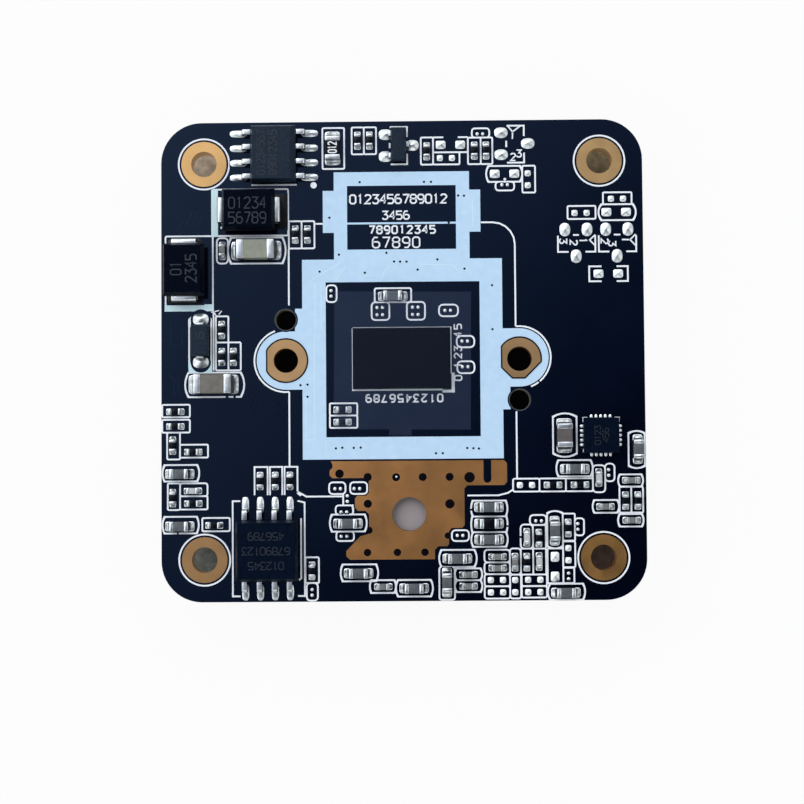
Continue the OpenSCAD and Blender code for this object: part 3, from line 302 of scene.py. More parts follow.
def glass_material():
    """Cover glass of the sensor: nearly black over the die."""
    s = Shader("glass", (0.002, 0.002, 0.006), 0.08, Specular_IOR_Level=0.22, Alpha=0.4)
    grain = s.noise(420, 4)
    s.color(s.ramp(grain, [(0.35, (0.0017, 0.0017, 0.0051)), (0.65, (0.002, 0.002, 0.006))]))
    s.rough(grain, 0.056, 0.104)
    s.bump(s.noise(60, 2), 0.2, 1e-4)
    return s.mat


# Strips where the outline print is filled: x and y of two corners in mm
WIDE = [(-16.45, 10.7, -15.75, 14.9), (-20.5, 4.25, -16.1, 4.95), (-18.4, -1, -16.3, -0.05)]
# Tints of the corner rings, by their places in mm
CORNER_TINTS = [(-17, 17, (0.88, 0.54, 0.21)), (17, 17, (1, 0.64, 0.27)),
                (-17, -17, (0.82, 0.47, 0.19)), (17, -17, (1, 0.53, 0.16))]

MATS = {
    "mask": solder_mask(),
    "frame_ink": printed_ink("frame_ink", (0.49, 0.7, 0.91), (0.54, 0.75, 0.95)),
    "line_ink": printed_ink("line_ink", (0.84, 0.91, 0.98), (0.93, 0.97, 1), WIDE, (0.64, 0.86, 0.92)),
    "gold": gold_plate("gold", (0.88, 0.55, 0.25), CORNER_TINTS),
    "ground_gold": gold_plate("ground_gold", (0.91, 0.43, 0.14)),
    "solder": solder("solder"),
    "tin": solder("tin", (0.3, 0.42), 2200),
    "run_solder": solder("run_solder", (0.26, 0.4), 2600, 0.3, 0.85),
    "dim_tin": solder("dim_tin", (0.3, 0.42), 2200, 0.4, 0.75),
    # Solder painted nearly black for the diode lands: a painted dark reflection.
    "painted_dark_solder": solder("painted_dark_solder", (0.3, 0.4), 1400, 0.03, 0.045),
    # The moulding colours are black compound with a painted blue sheen mixed in.
    "mould": moulded("mould", (0.003, 0.01, 0.022), (0.008, 0.021, 0.042), (0.42, 0.6), 0.2),
    "mould_flash": moulded("mould_flash", (0.0004, 0.003, 0.01), (0.0012, 0.0055, 0.018)),
    "mould_dark": moulded("mould_dark", (0.0001, 0.001, 0.005), (0.0005, 0.003, 0.0105), level=0.03),
    "glaze": moulded("glaze", (0.0005, 0.001, 0.003), (0.002, 0.003, 0.008), (0.2, 0.32), 0.25),
    "olive": ceramic("olive", (0.24, 0.26, 0.21), (0.3, 0.32, 0.26)),
    "brown": ceramic("brown", (0.13, 0.125, 0.11), (0.18, 0.17, 0.15)),
    "umber": ceramic("umber", (0.09, 0.08, 0.078), (0.125, 0.112, 0.107)),
    "grey": ceramic("grey", (0.07, 0.083, 0.092), (0.105, 0.125, 0.135)),
    "pill": pill_ceramic(),
    "nylon": speckled("nylon", (0.62, 0.57, 0.45), (0.7, 0.66, 0.54), (0.4, 0.55), 900),
    "ferrite": speckled("ferrite", (0.02, 0.02, 0.022), (0.045, 0.045, 0.048), (0.5, 0.7), 3800,
                        spread=0.15, bump=0.6, depth=4e-5),
    "lid": speckled("lid", (0.62, 0.6, 0.56), (0.7, 0.68, 0.64), (0.28, 0.4), 700, metal=1.0),
    "silicon": speckled("silicon", (0.0003, 0.0004, 0.0015), (0.0006, 0.001, 0.0035), (0.12, 0.2), 500,
                        bump=0.02, Specular_IOR_Level=0.25),
    "glass": glass_material(),
    "film": film_material(),
}


# ---------- Meshes ----------
def welded(node):
    """The node's own mesh with its corners joined and its flat faces whole."""
    bm = bmesh.new()
    bm.from_mesh(nodes[node].data)
    bmesh.ops.remove_doubles(bm, verts=bm.verts, dist=1e-6)
    bmesh.ops.dissolve_limit(bm, angle_limit=0.01, verts=bm.verts, edges=bm.edges)
    return bm


def islands(bm):
    """Groups of joined vertices."""
    bm.verts.ensure_lookup_table()
    seen, found = set(), []
    for v in bm.verts:
        if v.index in seen:
            continue
        seen.add(v.index)
        stack, group = [v], []
        while stack:
            w = stack.pop()
            group.append(w)
            for e in w.link_edges:
                o = e.other_vert(w)
                if o.index not in seen:
                    seen.add(o.index)
                    stack.append(o)
        found.append(group)
    return found


def boxes(node):
    """Lowest and highest corner of each solid of a node, with its vertices."""
    bm = welded(node)
    out = []
    for group in islands(bm):
        points = [v.co.copy() for v in group]
        low = Vector(min(p[i] for p in points) for i in range(3))
        high = Vector(max(p[i] for p in points) for i in range(3))
        out.append((low, high, points))
    bm.free()
    return out


def new_piece(name, bm, material, smooth=True, sharp=40, replaces=()):
    """Makes an object of a mesh, with its place in the part."""
    mesh = bpy.data.meshes.new(name)
    bm.to_mesh(mesh)
    bm.free()
    if smooth:
        mesh.polygons.foreach_set("use_smooth", [True] * len(mesh.polygons))
        mesh.set_sharp_from_angle(angle=math.radians(sharp))
    mesh.materials.append(material)
    piece = bpy.data.objects.new(name, mesh)
    bpy.context.collection.objects.link(piece)
    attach(piece, "root")
    if replaces:
        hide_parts(*replaces)
    return piece


def softened(node, material, width, lift=0.0):
    """Stands for a node with the same solid, its edges broken by the given width in mm."""
    bm = welded(node)
    bmesh.ops.translate(bm, vec=(0, 0, lift * MM), verts=bm.verts)
    edges = [e for e in bm.edges if len(e.link_faces) == 2 and e.calc_face_angle(0) > 0.35]
    bmesh.ops.bevel(bm, geom=edges, offset=width * MM, offset_type="OFFSET", segments=2,
                    profile=0.6, affect="EDGES", clamp_overlap=True)
    piece = new_piece(node + "_soft", bm, material, sharp=50, replaces=[node])
    piece.modifiers.new("normals", "WEIGHTED_NORMAL").keep_sharp = True


def outline_point(a, w, h, n):
    """A point of a rounded rectangle; the larger n, the squarer."""
    c, s = math.cos(a), math.sin(a)
    return (w / 2 * math.copysign(abs(c) ** (2 / n), c), h / 2 * math.copysign(abs(s) ** (2 / n), s))


def dome(bm, centre, w, h, rise, n, power, up=1, around=24, rings=8, wobble=0.2):
    """A closed cushion of solder on a rounded land; rise falls from the middle to the rim."""
    tilt = rng.uniform(-wobble, wobble), rng.uniform(-wobble, wobble)
    loops = []
    for k in range(rings):
        s = 1 - k / rings
        loop = []
        for i in range(around):
            x, y = outline_point(2 * math.pi * i / around, w * s, h * s, 2 + (n - 2) * s * s)
            z = rise * (1 - s ** power) * (1 + tilt[0] * x / w + tilt[1] * y / h)
            loop.append(bm.verts.new(centre + Vector((x, y, up * z))))
        loops.append(loop)
    top = bm.verts.new(centre + Vector((0, 0, up * rise)))
    base = [bm.verts.new(v.co - Vector((0, 0, up * SKIRT))) for v in loops[0]]
    bm.faces.new(base[::-1] if up > 0 else base)
    for a, b in zip([base] + loops[:-1], loops):
        for i in range(around):
            j = (i + 1) % around
            quad = (a[i], a[j], b[j], b[i])
            bm.faces.new(quad if up > 0 else quad[::-1])
    for i in range(around):
        j = (i + 1) % around
        tri = (loops[-1][i], loops[-1][j], top)
        bm.faces.new(tri if up > 0 else tri[::-1])


def fillet(bm, low, high, points, up):
    """Concave run of solder from the land up the end of a chip."""
    ground = low.z if up > 0 else high.z
    tall = [p for p in points if abs(p.z - ground) > 0.5 * (high.z - low.z)]
    mid = (low + high) / 2
    lean = sum(tall, Vector()) / len(tall) - mid
    along_x = abs(lean.x) > abs(lean.y)
    run = (high.x - low.x) if along_x else (high.y - low.y)
    wide = (high.y - low.y) if along_x else (high.x - low.x)
    rise = high.z - low.z
    to = -1 if (lean.x if along_x else lean.y) > 0 else 1
    start = mid - (Vector((to * run / 2, 0, 0)) if along_x else Vector((0, to * run / 2, 0)))
    start.z = ground
    lanes, steps = 10, 12
    small = wide < 0.6 * MM
    full = rng.uniform(0.9, 1.05) * (0.75 if small else 1)
    toe = min(0.34 * rise, 0.17 * MM)
    rows = []
    for i in range(steps + 1):
        t = i / steps
        # A plain slope on a small chip; on a large one a neck up its end and a long toe on the land
        if small:
            level = rise * full * (1 - t ** 1.6)
        else:
            level = full * (toe * (1 - t ** 2.2) + (rise - toe) * max(0, 1 - t / 0.42) ** 1.5)
        row = []
        for j in range(lanes + 1):
            u = 2 * j / lanes - 1
            y = u * wide / 2 * (1 - (0.35 if small else 0.14) * t ** 2)
            x = run * t * (1 - 0.16 * abs(u) ** 3)
            at = Vector((to * x, y, 0)) if along_x else Vector((y, to * x, 0))
            row.append(bm.verts.new(start + at + Vector((0, 0, up * level * (1 - 0.5 * abs(u) ** 4)))))
        rows.append(row)
    for a, b in zip(rows, rows[1:]):
        for j in range(lanes):
            bm.faces.new((a[j], a[j + 1], b[j + 1], b[j]))


# ---------- Board, print, plating ----------
softened("circuit_board", MATS["mask"], 0.05)
KEPT = {"corner_eyelets": "gold", "lens_eyelet_left": "gold", "lens_eyelet_right": "gold",
        "ground_pad": "ground_gold", "sensor_frame_print": "frame_ink", "outline_print": "line_ink"}
for node, material in KEPT.items():
    nodes[node].data.materials.clear()
    nodes[node].data.materials.append(MATS[material])


# ---------- Solder ----------
def facing(low):
    """1 on the front of the board, -1 on its back."""
    return 1 if low.z > HALFWAY else -1


def is_size(low, high, w, h):
    """Whether a land measures w by h mm, either way round."""
    a, b = sorted(((high.x - low.x) / MM, (high.y - low.y) / MM))
    return abs(a - min(w, h)) < 0.03 and abs(b - max(w, h)) < 0.03


def squareness(w, h):
    """Dots and transistor lands are round, chip lands nearly square."""
    if min(w, h) < 0.3 * MM:
        return 2.1
    if max(w, h) > 1.05 * MM:
        return 2.4
    return 5 if min(w, h) > 0.6 * MM else 3.8


bm = bmesh.new()
for low, high, _ in boxes("bare_lands"):
    w, h = high.x - low.x, high.y - low.y
    mid = (low + high) / 2
    mid.z = low.z + SKIRT
    dome(bm, mid, w, h, 0.22 * min(w, h), squareness(w, h), 1.5)
new_piece("bare_solder", bm, MATS["solder"], replaces=["bare_lands"])

bm, painted_dark_lands = bmesh.new(), bmesh.new()
# Lands that show solder: length, width, height, squareness and fall of the solder
DIODE_LAND = (1.55, 3.1)
LEADED = ((1.5, 0.6, 0.14, 3, 1.6), (1.4, 0.6, 0.14, 3, 1.6), (1.15, 0.92, 0.22, 2.6, 1.6),
          (1, 1.35, 0.24, 2.6, 1.6), (*DIODE_LAND, 0.1, 5, 2.5), (0.44, 0.24, 0.06, 2.6, 1.6))
for low, high, _ in boxes("part_lands"):
    up = facing(low)
    w, h = high.x - low.x, high.y - low.y
    mid = (low + high) / 2
    mid.z = low.z + SKIRT if up > 0 else high.z - SKIRT
    rise, n, power = 0.04 * MM, 5.0, 8.0
    for a, b, tall, square, fall in LEADED:
        if is_size(low, high, a, b):
            rise, n, power = tall * MM, square, fall
    # The diode lands get the solder with the painted dark reflection.
    dome(painted_dark_lands if is_size(low, high, *DIODE_LAND) else bm, mid, w, h, rise, n, power, up)
new_piece("land_solder", bm, MATS["solder"], replaces=["part_lands"])
new_piece("diode_solder", painted_dark_lands, MATS["painted_dark_solder"])

bm = bmesh.new()
for low, high, points in boxes("solder_fillets"):
    fillet(bm, low, high, points, facing(low))
new_piece("fillets", bm, MATS["run_solder"], replaces=["solder_fillets"])

# ---------- Parts ----------
SOFT = {
    "mould": ["surge_filter_body", "small_diode_body", "transistor_body"],
    "mould_flash": ["flash_memory_body", "driver_chip_body"],
    "mould_dark": ["surge_diode_1_body", "surge_diode_2_body", "regulator_body", "processor_body"],
    "glaze": ["fuse_resistor_body", "resistor_0402_bodies", "bead_0603_body"],
    "olive": ["input_capacitor_1_body"],
    "brown": ["input_capacitor_2_body", "crystal_base"],
    "pill": ["capacitor_0402_bodies"],
    "umber": ["bulk_capacitor_body"],
    "grey": ["capacitor_0603_bodies"],
    "lid": ["crystal_lid"],
    "ferrite": ["choke_core_1", "choke_core_2", "choke_core_3"],
    "nylon": [n for n in nodes if n.endswith("_housing")],
    "tin": [n for n in nodes if n.endswith(("_leads", "_ends", "_contacts"))],
    "silicon": ["sensor_die"],
    "glass": ["sensor_glass"],
    "solder": ["sensor_balls"],
}
# In mm: the glass and the film stand a hair clear, so that no two faces coincide
GLASS_LIFT, FILM_LIFT = 0.02, 0.045


def edge_width(node):
    """How wide the edges of a node are broken, in mm."""
    if node in ("processor_leads", "driver_chip_leads", "sensor_glass", "sensor_die"):
        return 0.012
    if node.endswith("_ends"):
        return 0.06
    if "040" in node or "0603" in node:
        return 0.03
    return 0.04 if node.endswith(("_body", "_housing", "_core_1", "_core_2", "_core_3")) else 0.025


for material, names in SOFT.items():
    for node in names:
        lift = GLASS_LIFT if node == "sensor_glass" else 0
        softened(node, MATS[material], edge_width(node), lift)

# Solder that crowns the end caps of the chips, dimmer on the grey ones
bm, dim = bmesh.new(), bmesh.new()
grey_chips = [(low + high) / 2 for low, high, _ in boxes("capacitor_0402_bodies")]
grey_chips = [c for c in grey_chips if all((c.xy / MM - Vector(p)).length > 0.9 for p in PALE)]
for node in SOFT["tin"]:
    if not node.endswith("_ends") or node == "choke_ends":
        continue
    for low, high, _ in boxes(node):
        up = facing(low)
        mid = (low + high) / 2
        mid.z = (high.z if up > 0 else low.z) - up * 0.01 * MM
        w, h = high.x - low.x - 0.03 * MM, high.y - low.y - 0.03 * MM
        wide = min(w, h) > 0.35 * MM
        grey = node == "chip_0402_ends" and any((mid - c).length < 0.7 * MM for c in grey_chips)
        dome(dim if grey else bm, mid, w, h, 0.08 * min(w, h) if wide else 0.17 * min(w, h),
             6 if wide else 4, 3 if wide else 1.5, up, around=28, rings=6, wobble=0.1)
new_piece("end_crowns", bm, MATS["tin"])
new_piece("grey_crowns", dim, MATS["dim_tin"])

# The film was laid on by hand, a little askew
askew = Matrix.Rotation(math.radians(-0.6), 3, "Z")
bm = welded("sensor_film")
low, high = (Vector(corner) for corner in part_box("sensor_film"))
bmesh.ops.translate(bm, vec=(0, 0, FILM_LIFT * MM), verts=bm.verts)
bmesh.ops.rotate(bm, cent=(low + high) / 2, matrix=askew, verts=bm.verts)
new_piece("film", bm, MATS["film"], replaces=["sensor_film"])


# ---------- Marks ----------
# Strokes of plain digits on a grid four wide and six high
GLYPHS = {
    "0": [[(0, 1), (0, 5), (1, 6), (3, 6), (4, 5), (4, 1), (3, 0), (1, 0), (0, 1)]],
    "1": [[(1, 5), (2, 6), (2, 0)]],
    "2": [[(0, 5), (1, 6), (3, 6), (4, 5), (4, 4), (0, 0), (4, 0)]],
    "3": [[(0, 6), (4, 6), (2, 3.6), (3, 3.5), (4, 2.5), (4, 1), (3, 0), (1, 0), (0, 1)]],
    "4": [[(3, 0), (3, 6), (0, 2), (4, 2)]],
    "5": [[(4, 6), (0, 6), (0, 3.5), (3, 3.5), (4, 2.5), (4, 1), (3, 0), (0, 0)]],
    "6": [[(3, 6), (1, 6), (0, 4.5), (0, 1), (1, 0), (3, 0), (4, 1), (4, 2.5), (3, 3.4), (0, 3.4)]],
    "7": [[(0, 6), (4, 6), (1.5, 0)]],
    "8": [[(1, 3.2), (0, 4), (0, 5), (1, 6), (3, 6), (4, 5), (4, 4), (3, 3.2), (1, 3.2)],
          [(1, 3.2), (0, 2.3), (0, 1), (1, 0), (3, 0), (4, 1), (4, 2.3), (3, 3.2)]],
    "9": [[(1, 0), (3, 0), (4, 1.5), (4, 5), (3, 6), (1, 6), (0, 5), (0, 3.5), (1, 2.6), (4, 2.6)]],
}


def stroke(bm, points, width, z, thick=0.012):
    """A flat line of ink along points in mm, with mitred corners."""
    path = [Vector(p) for p in points]
    closed = len(path) > 3 and (path[0] - path[-1]).length < 1e-6
    path = path[:-1] if closed else path
    count, pairs = len(path), []
    for i, p in enumerate(path):
        ways = []
        if i > 0 or closed:
            ways.append((p - path[i - 1]).normalized())
        if i < count - 1 or closed:
            ways.append((path[(i + 1) % count] - p).normalized())
        way = (ways[0] + ways[-1]).normalized() if (ways[0] + ways[-1]).length > 1e-6 else ways[0]
        across = Vector((-way.y, way.x))
        across *= width / 2 / max(0.5, across.dot(Vector((-ways[0].y, ways[0].x))))
        ring = [p + across, p - across]
        pairs.append([bm.verts.new(Vector((q.x, q.y, 0)) * MM + Vector((0, 0, z + lift * MM)))
                      for q, lift in ((ring[0], 0), (ring[0], thick), (ring[1], thick), (ring[1], 0))])
    for i in range(count if closed else count - 1):
        a, b = pairs[i], pairs[(i + 1) % count]
        for j in range(4):
            bm.faces.new((a[j], b[j], b[(j + 1) % 4], a[(j + 1) % 4]))
    if not closed:
        bm.faces.new(pairs[0])
        bm.faces.new(pairs[-1][::-1])


def numbers(bm, text, x, y, height, z, angle=0, weight=0.14, pitch=0.83, squeeze=1.0):
    """A row of plain digits about a middle point, in mm."""
    unit = height / 6
    turn = Matrix.Rotation(math.radians(angle), 2)
    for k, digit in enumerate(text):
        along = (k - (len(text) - 1) / 2) * height * pitch
        for line in GLYPHS[digit]:
            flat = [Vector((along + (gx - 2) * unit * squeeze, (gy - 3) * unit)) for gx, gy in line]
            stroke(bm, [turn @ p + Vector((x, y)) for p in flat], weight * height, z)


def disc(bm, x, y, r, z, thick=0.01, around=16, inner=0.0):
    """A thin round of ink, or a ring, in mm."""
    rim = [(math.cos(a), math.sin(a)) for a in (2 * math.pi * i / around for i in range(around))]
    section = [(r, 0), (r, thick)] + ([(inner, thick), (inner, 0)] if inner else [])
    loops = [[bm.verts.new(((x + radius * c) * MM, (y + radius * s) * MM, z + lift * MM)) for c, s in rim]
             for radius, lift in section]
    for k, loop in enumerate(loops if inner else loops[:-1]):
        nxt = loops[(k + 1) % len(loops)]
        for i in range(around):
            bm.faces.new((loop[i], loop[(i + 1) % around], nxt[(i + 1) % around], nxt[i]))
    if not inner:
        bm.faces.new(loops[1])
        bm.faces.new(loops[0][::-1])


def mark(name, bm, material):
    """A flat piece of ink or lacquer."""
    new_piece(name, bm, MATS[material], smooth=False)


def ink(name, dark, light, level=0.5, rough=(0.5, 0.6), **sockets):
    """A material for marks; level is how much it shines."""
    MATS[name] = speckled(name, dark, light, rough, 2500, Specular_IOR_Level=level, **sockets)


ink("mark_bright", (0.78, 0.84, 0.9), (0.9, 0.94, 0.98))
ink("mark_grey", (0.02, 0.028, 0.038), (0.036, 0.046, 0.06), 0.2)
ink("mark_faint", (0.012, 0.018, 0.028), (0.022, 0.03, 0.043), 0.2)
ink("gap", (0.0008, 0.001, 0.0025), (0.002, 0.0025, 0.005), 0.05)
ink("rim", (0.035, 0.04, 0.05), (0.08, 0.09, 0.1))
ink("relief", (0.58, 0.8, 0.93), (0.64, 0.85, 0.97))
ink("track", (0.002, 0.005, 0.016), (0.004, 0.009, 0.026), 0.65, (0.14, 0.2), Specular_Tint=MASK_TINT)
ink("glint", (0.02, 0.09, 0.04), (0.05, 0.16, 0.08))

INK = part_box("outline_print")[1][2]  # top of the print
SKIN = FRONT + 0.003 * MM  # where marks on the lacquer start

# Rows of plain numbers in the two windows, and the index numbers beside the sensor
bm = bmesh.new()
numbers(bm, "0123456789012", -0.28, 13.85, 0.74, SKIN, 0, 0.18, 0.88)
numbers(bm, "3456", -0.5, 12.45, 0.68, SKIN, 0, 0.18, 0.9)
numbers(bm, "789012345", 0.05, 11.2, 0.64, SKIN, 0, 0.22, 1.02)
numbers(bm, "67890", -0.48, 10.1, 0.88, SKIN, 0, 0.14, 0.98)
for k in range(10):
    numbers(bm, str(k), 3.2 - 0.68 * k, -3.3, 0.62, SKIN, 180, 0.22)
for k, y in enumerate((-1.6, -0.5, 0.3, 0.9, 2.1, 2.8)):
    numbers(bm, str(k), 4.75, y, 0.6, SKIN, 90, 0.19)
for digit, x, y, angle in (("2", 9.62, 17.39, 0), ("3", 10.13, 17.69, 0), ("3", 13.85, 10.1, 270),
                           ("2", 14.75, 9.95, 270), ("1", 15.55, 10.12, 270), ("2", 17.4, 10.05, 270),
                           ("3", 18.05, 9.85, 270)):
    numbers(bm, digit, x, y, 0.6, SKIN, angle, 0.2)
# Pin marks of the empty transistor places
for line in ([(9.17, 20.1), (9.6, 19.58), (10.3, 20.1)], [(9.6, 19.58), (9.58, 18.96)],
             [(16.6, 10.62), (16.12, 10.16), (16.6, 9.66)], [(20.05, 10.62), (19.58, 10.16), (20.05, 9.66)],
             [(19.58, 10.16), (18.88, 10.18)]):
    stroke(bm, line, 0.12, SKIN)
# Frayed ends of the print
for line, width in (([(-16.4, 4.2), (-15.7, 4.36)], 0.09), ([(-16.25, 4.42), (-15.95, 3.85)], 0.09),
                    ([(-15.75, 4.0), (-15.5, 4.32)], 0.09), ([(-9.05, -11.3), (-8.75, -11.55)], 0.2)):
    stroke(bm, line, width, INK - 0.004 * MM)
# Lone dots
for x, y, r in ((-15.5, 11.5, 0.11), (8.9, 15.47, 0.12), (-0.6, -10, 0.08)):
    disc(bm, x, y, r, SKIN + 0.012 * MM)
mark("numbers", bm, "mark_bright")


def on_top(node, rows, height, material, angle=0, weight=0.12, dx=0.0, dy=0.0, pitch=0.83, gap=1.35,
           squeeze=1.0):
    """Rows of numbers on the top of a part, dx and dy in mm off its middle."""
    low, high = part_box(node)
    bm = bmesh.new()
    x, y = (low[0] + high[0]) / 2 / MM + dx, (low[1] + high[1]) / 2 / MM + dy
    turn = Matrix.Rotation(math.radians(angle), 2)
    for k, row in enumerate(rows):
        at = turn @ Vector((0, ((len(rows) - 1) / 2 - k) * height * gap)) + Vector((x, y))
        numbers(bm, row, at.x, at.y, height, high[2] + 0.001 * MM, angle, weight, pitch, squeeze)
    mark(node + "_mark", bm, material)


on_top("fuse_resistor_body", ["012"], 0.68, "mark_bright", 90, 0.15, pitch=0.5, squeeze=0.55)
on_top("surge_diode_1_body", ["01234", "56789"], 0.92, "mark_grey", 0, 0.11, dy=-0.2,
       pitch=0.72, gap=1.38, squeeze=0.8)
on_top("surge_diode_2_body", ["01", "2345"], 0.9, "mark_grey", 90, dx=0.12,
       pitch=0.7, gap=1.42, squeeze=0.75)
on_top("surge_filter_body", ["01234567", "89012345"], 0.64, "mark_grey", 90, dx=-0.5,
       pitch=0.77, gap=1.6, squeeze=0.85)
on_top("flash_memory_body", ["012345", "67890123", "456789"], 0.62, "mark_faint", 180, 0.13, gap=2)
on_top("transistor_body", ["0123"], 0.42, "mark_faint", 90, 0.14)
on_top("driver_chip_body", ["0123", "456"], 0.5, "mark_faint", 90)
on_top("small_diode_body", ["01"], 0.5, "mark_grey", 180, 0.14, dy=0.4)

# Vias that open through the print, in mm
PRINT_VIAS = ((-3.58, 15.33), (1.95, 15.3), (2.55, 15.3), (-6.2, 12.28), (4.88, 14.1), (5.38, 14.08),
              (-5.4, 9.08), (-1.32, 9.2), (-0.67, 8.45), (-0.15, 8.43), (0.4, 8.43), (3.05, 8.6),
              (-7.07, 7.63), (-3.18, 7.5), (1.35, 7.73), (5.37, 7.78), (7.72, 6.33), (7.72, 2.55),
              (-8.75, -2.12), (-8.15, -2.08), (-8.15, -3.12), (-5.75, -7.55), (-5.2, -7.5),
              (-4.22, -7.52), (-3.63, -7.5), (2.8, -8.03), (3.38, -8.03), (5.48, -7.6), (6, -7.63),
              (6.47, -7.65), (4.05, 11.77))
bm = bmesh.new()
for x, y in PRINT_VIAS:
    disc(bm, x, y, 0.1, INK - 0.004 * MM)
# Fills of the vias of the ground pad
for x, y, r in ((-5.45, -9.72, 0.35), (-3.05, -10.02, 0.33), (-0.62, -10.05, 0.32), (1.65, -10.05, 0.32),
                (3.95, -10.05, 0.32), (5.65, -10.1, 0.43), (-3.05, -12.3, 0.33), (3.95, -12.35, 0.38),
                (-2.95, -14.55, 0.28), (3.75, -15.05, 0.25), (-3.1, -16.45, 0.3), (-0.55, -16.45, 0.3),
                (1.8, -16.45, 0.3)):
    disc(bm, x, y, r, SKIN, 0.004, 24)
# Small vias under the lacquer
for x, y in ((-12.9, -2.75), (-12.6, -3.05), (-12.85, -3.5), (-12.5, -3.7), (-13, -3.9), (-12.6, -4.3),
             (-12.9, -4.5), (-10.6, -2.8), (-10.3, -3.1), (-10.55, -3.7), (-10.2, -4.2), (-10.6, -4.55),
             (-10.3, -4.9), (-10.45, -5.8), (-18.1, 15.4), (-17.7, 13.2), (-20, 2.2), (-18.8, 2.0)):
    disc(bm, x, y, 0.055, SKIN, 0.003, 10)
# Gaps round the lens rings: each is a circle, cut flat where the ring is, by direction and distance
RING_CUTS = {(-10, 0): [(1, 0, 1.64)],
             (10, 0): [(1, 0, 1.52), (0, 1, 1.64), (0.7071, 0.7071, 1.595), (-0.7071, 0.7071, 1.49)]}
for (x, y), cuts in RING_CUTS.items():
    edge = []
    for k in range(97):
        c, v = math.cos(2 * math.pi * k / 96), math.sin(2 * math.pi * k / 96)
        r = min([1.865] + [far / -(c * nx + v * ny) for nx, ny, far in cuts if c * nx + v * ny < -0.05])
        edge.append((x + r * c, y + r * v))
    edge[-1] = edge[0]
    stroke(bm, edge, 0.12, max(INK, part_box("lens_eyelet_left")[1][2]))
mark("gaps", bm, "gap")

bm = bmesh.new()
for x, y in PEGS:
    disc(bm, x, y, 0.955, SKIN, 0.02, 40, 0.885)
mark("peg_rims", bm, "rim")

# Tracks and vias that show faintly through the wide field
bm = bmesh.new()
for line in ([(-7.47, 6.6), (-7.47, 2.6)], [(-6.95, 6.5), (-6.95, 2.6)],
             [(-7.98, 6.75), (-6, 7.96), (-5.22, 8.45)], [(-5.66, 7), (-4.8, 8.13)],
             [(-7.55, 2.4), (-7.55, -6.8), (-8.3, -6.8), (-8.3, -3.5)],
             [(-6.57, -6.75), (-6.57, -8.3)], [(0.97, -6.75), (0.97, -7.3)],
             [(-1.76, 7.0), (-1.45, 7.77), (-0.91, 8.08)], [(1.6, 8.2), (4.39, 8.1), (5.0, 7.4)],
             [(6.1, 13.8), (6.1, 11.4)]):
    stroke(bm, line, 0.07, INK - 0.006 * MM)
for x, y in ((-6.34, 13.8), (-5.2, 13.96), (5.34, 12.6)):
    disc(bm, x, y, 0.16, INK - 0.006 * MM, 0.01, 20, 0.11)
mark("field_relief", bm, "relief")

# Tracks that show faintly through the lacquer, and the pin ring of the surge filter
bm = bmesh.new()
for line in ([(-18.6, 11.8), (-18.2, 12.3), (-18.05, 12.9)], [(-18.2, 11.6), (-17.7, 12.3), (-17.6, 12.8)],
             [(-17.75, 11.65), (-17.3, 12.1), (-17.25, 12.6)], [(-19.3, 11.2), (-19.15, 11.7), (-18.8, 12.1)],
             [(-19.1, 10.9), (-18.85, 11.2)], [(-19.9, 3.2), (-19.9, 1.6), (-19.4, 1.1)],
             [(-18.9, 2.7), (-18.9, 1.3)], [(-20.1, -1.1), (-19.6, -1.6), (-19.6, -3)],
             [(-19.2, -1.4), (-19.2, -2.8)]):
    stroke(bm, line, 0.1, FRONT - 0.008 * MM)
disc(bm, -9.8, 16.5, 0.34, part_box("surge_filter_body")[1][2] - 0.006 * MM, 0.01, 28, 0.27)
mark("faint_tracks", bm, "track")

# Green glint along the lower edge of the sensor's window
bm = bmesh.new()
stroke(bm, [(-1.1, -2.5), (3.5, -2.54)], 0.06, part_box("sensor_glass")[1][2], 0.004)
mark("sensor_glint", bm, "glint")


# ---------- Floor, light, camera ----------
# Painted shade on the floor under the holes: x, y and radius in mm, dark and light colour
BLACK_SHADE = (0.004, 0.004, 0.006), (0.006, 0.006, 0.009)
SHADE_UNDER_HOLES = [
    (-18.15, 18.43, 1.8, (0.3, 0.24, 0.17), (0.5, 0.4, 0.3)),
    (18.02, 18.43, 1.8, (0.12, 0.09, 0.045), (0.24, 0.18, 0.1)),
    (-18.15, -17.74, 1.8, (0.1, 0.11, 0.095), (0.19, 0.2, 0.18)),
    (18.02, -17.74, 1.8, (0.05, 0.03, 0.02), (0.09, 0.05, 0.035)),
    (-10.4, 0.34, 1.6, *BLACK_SHADE),
    (10.27, 0.34, 1.6, *BLACK_SHADE),
    (-10.4, 3.96, 1.6, *BLACK_SHADE),
    (10.27, -3.27, 1.6, *BLACK_SHADE),
]
# Painted light and shade in the ground hole: the floor under it glows for the camera, by distance from its
# middle in units of 2 mm
GROUND_HOLE = (0.62, -13.5)
PAINTED_HOLE_GLOW = [(0.0, (0.23, 0.2, 0.205)), (0.42, (0.19, 0.165, 0.17)), (0.6, (0.13, 0.11, 0.115)),
             (0.76, (0.05, 0.04, 0.04))]


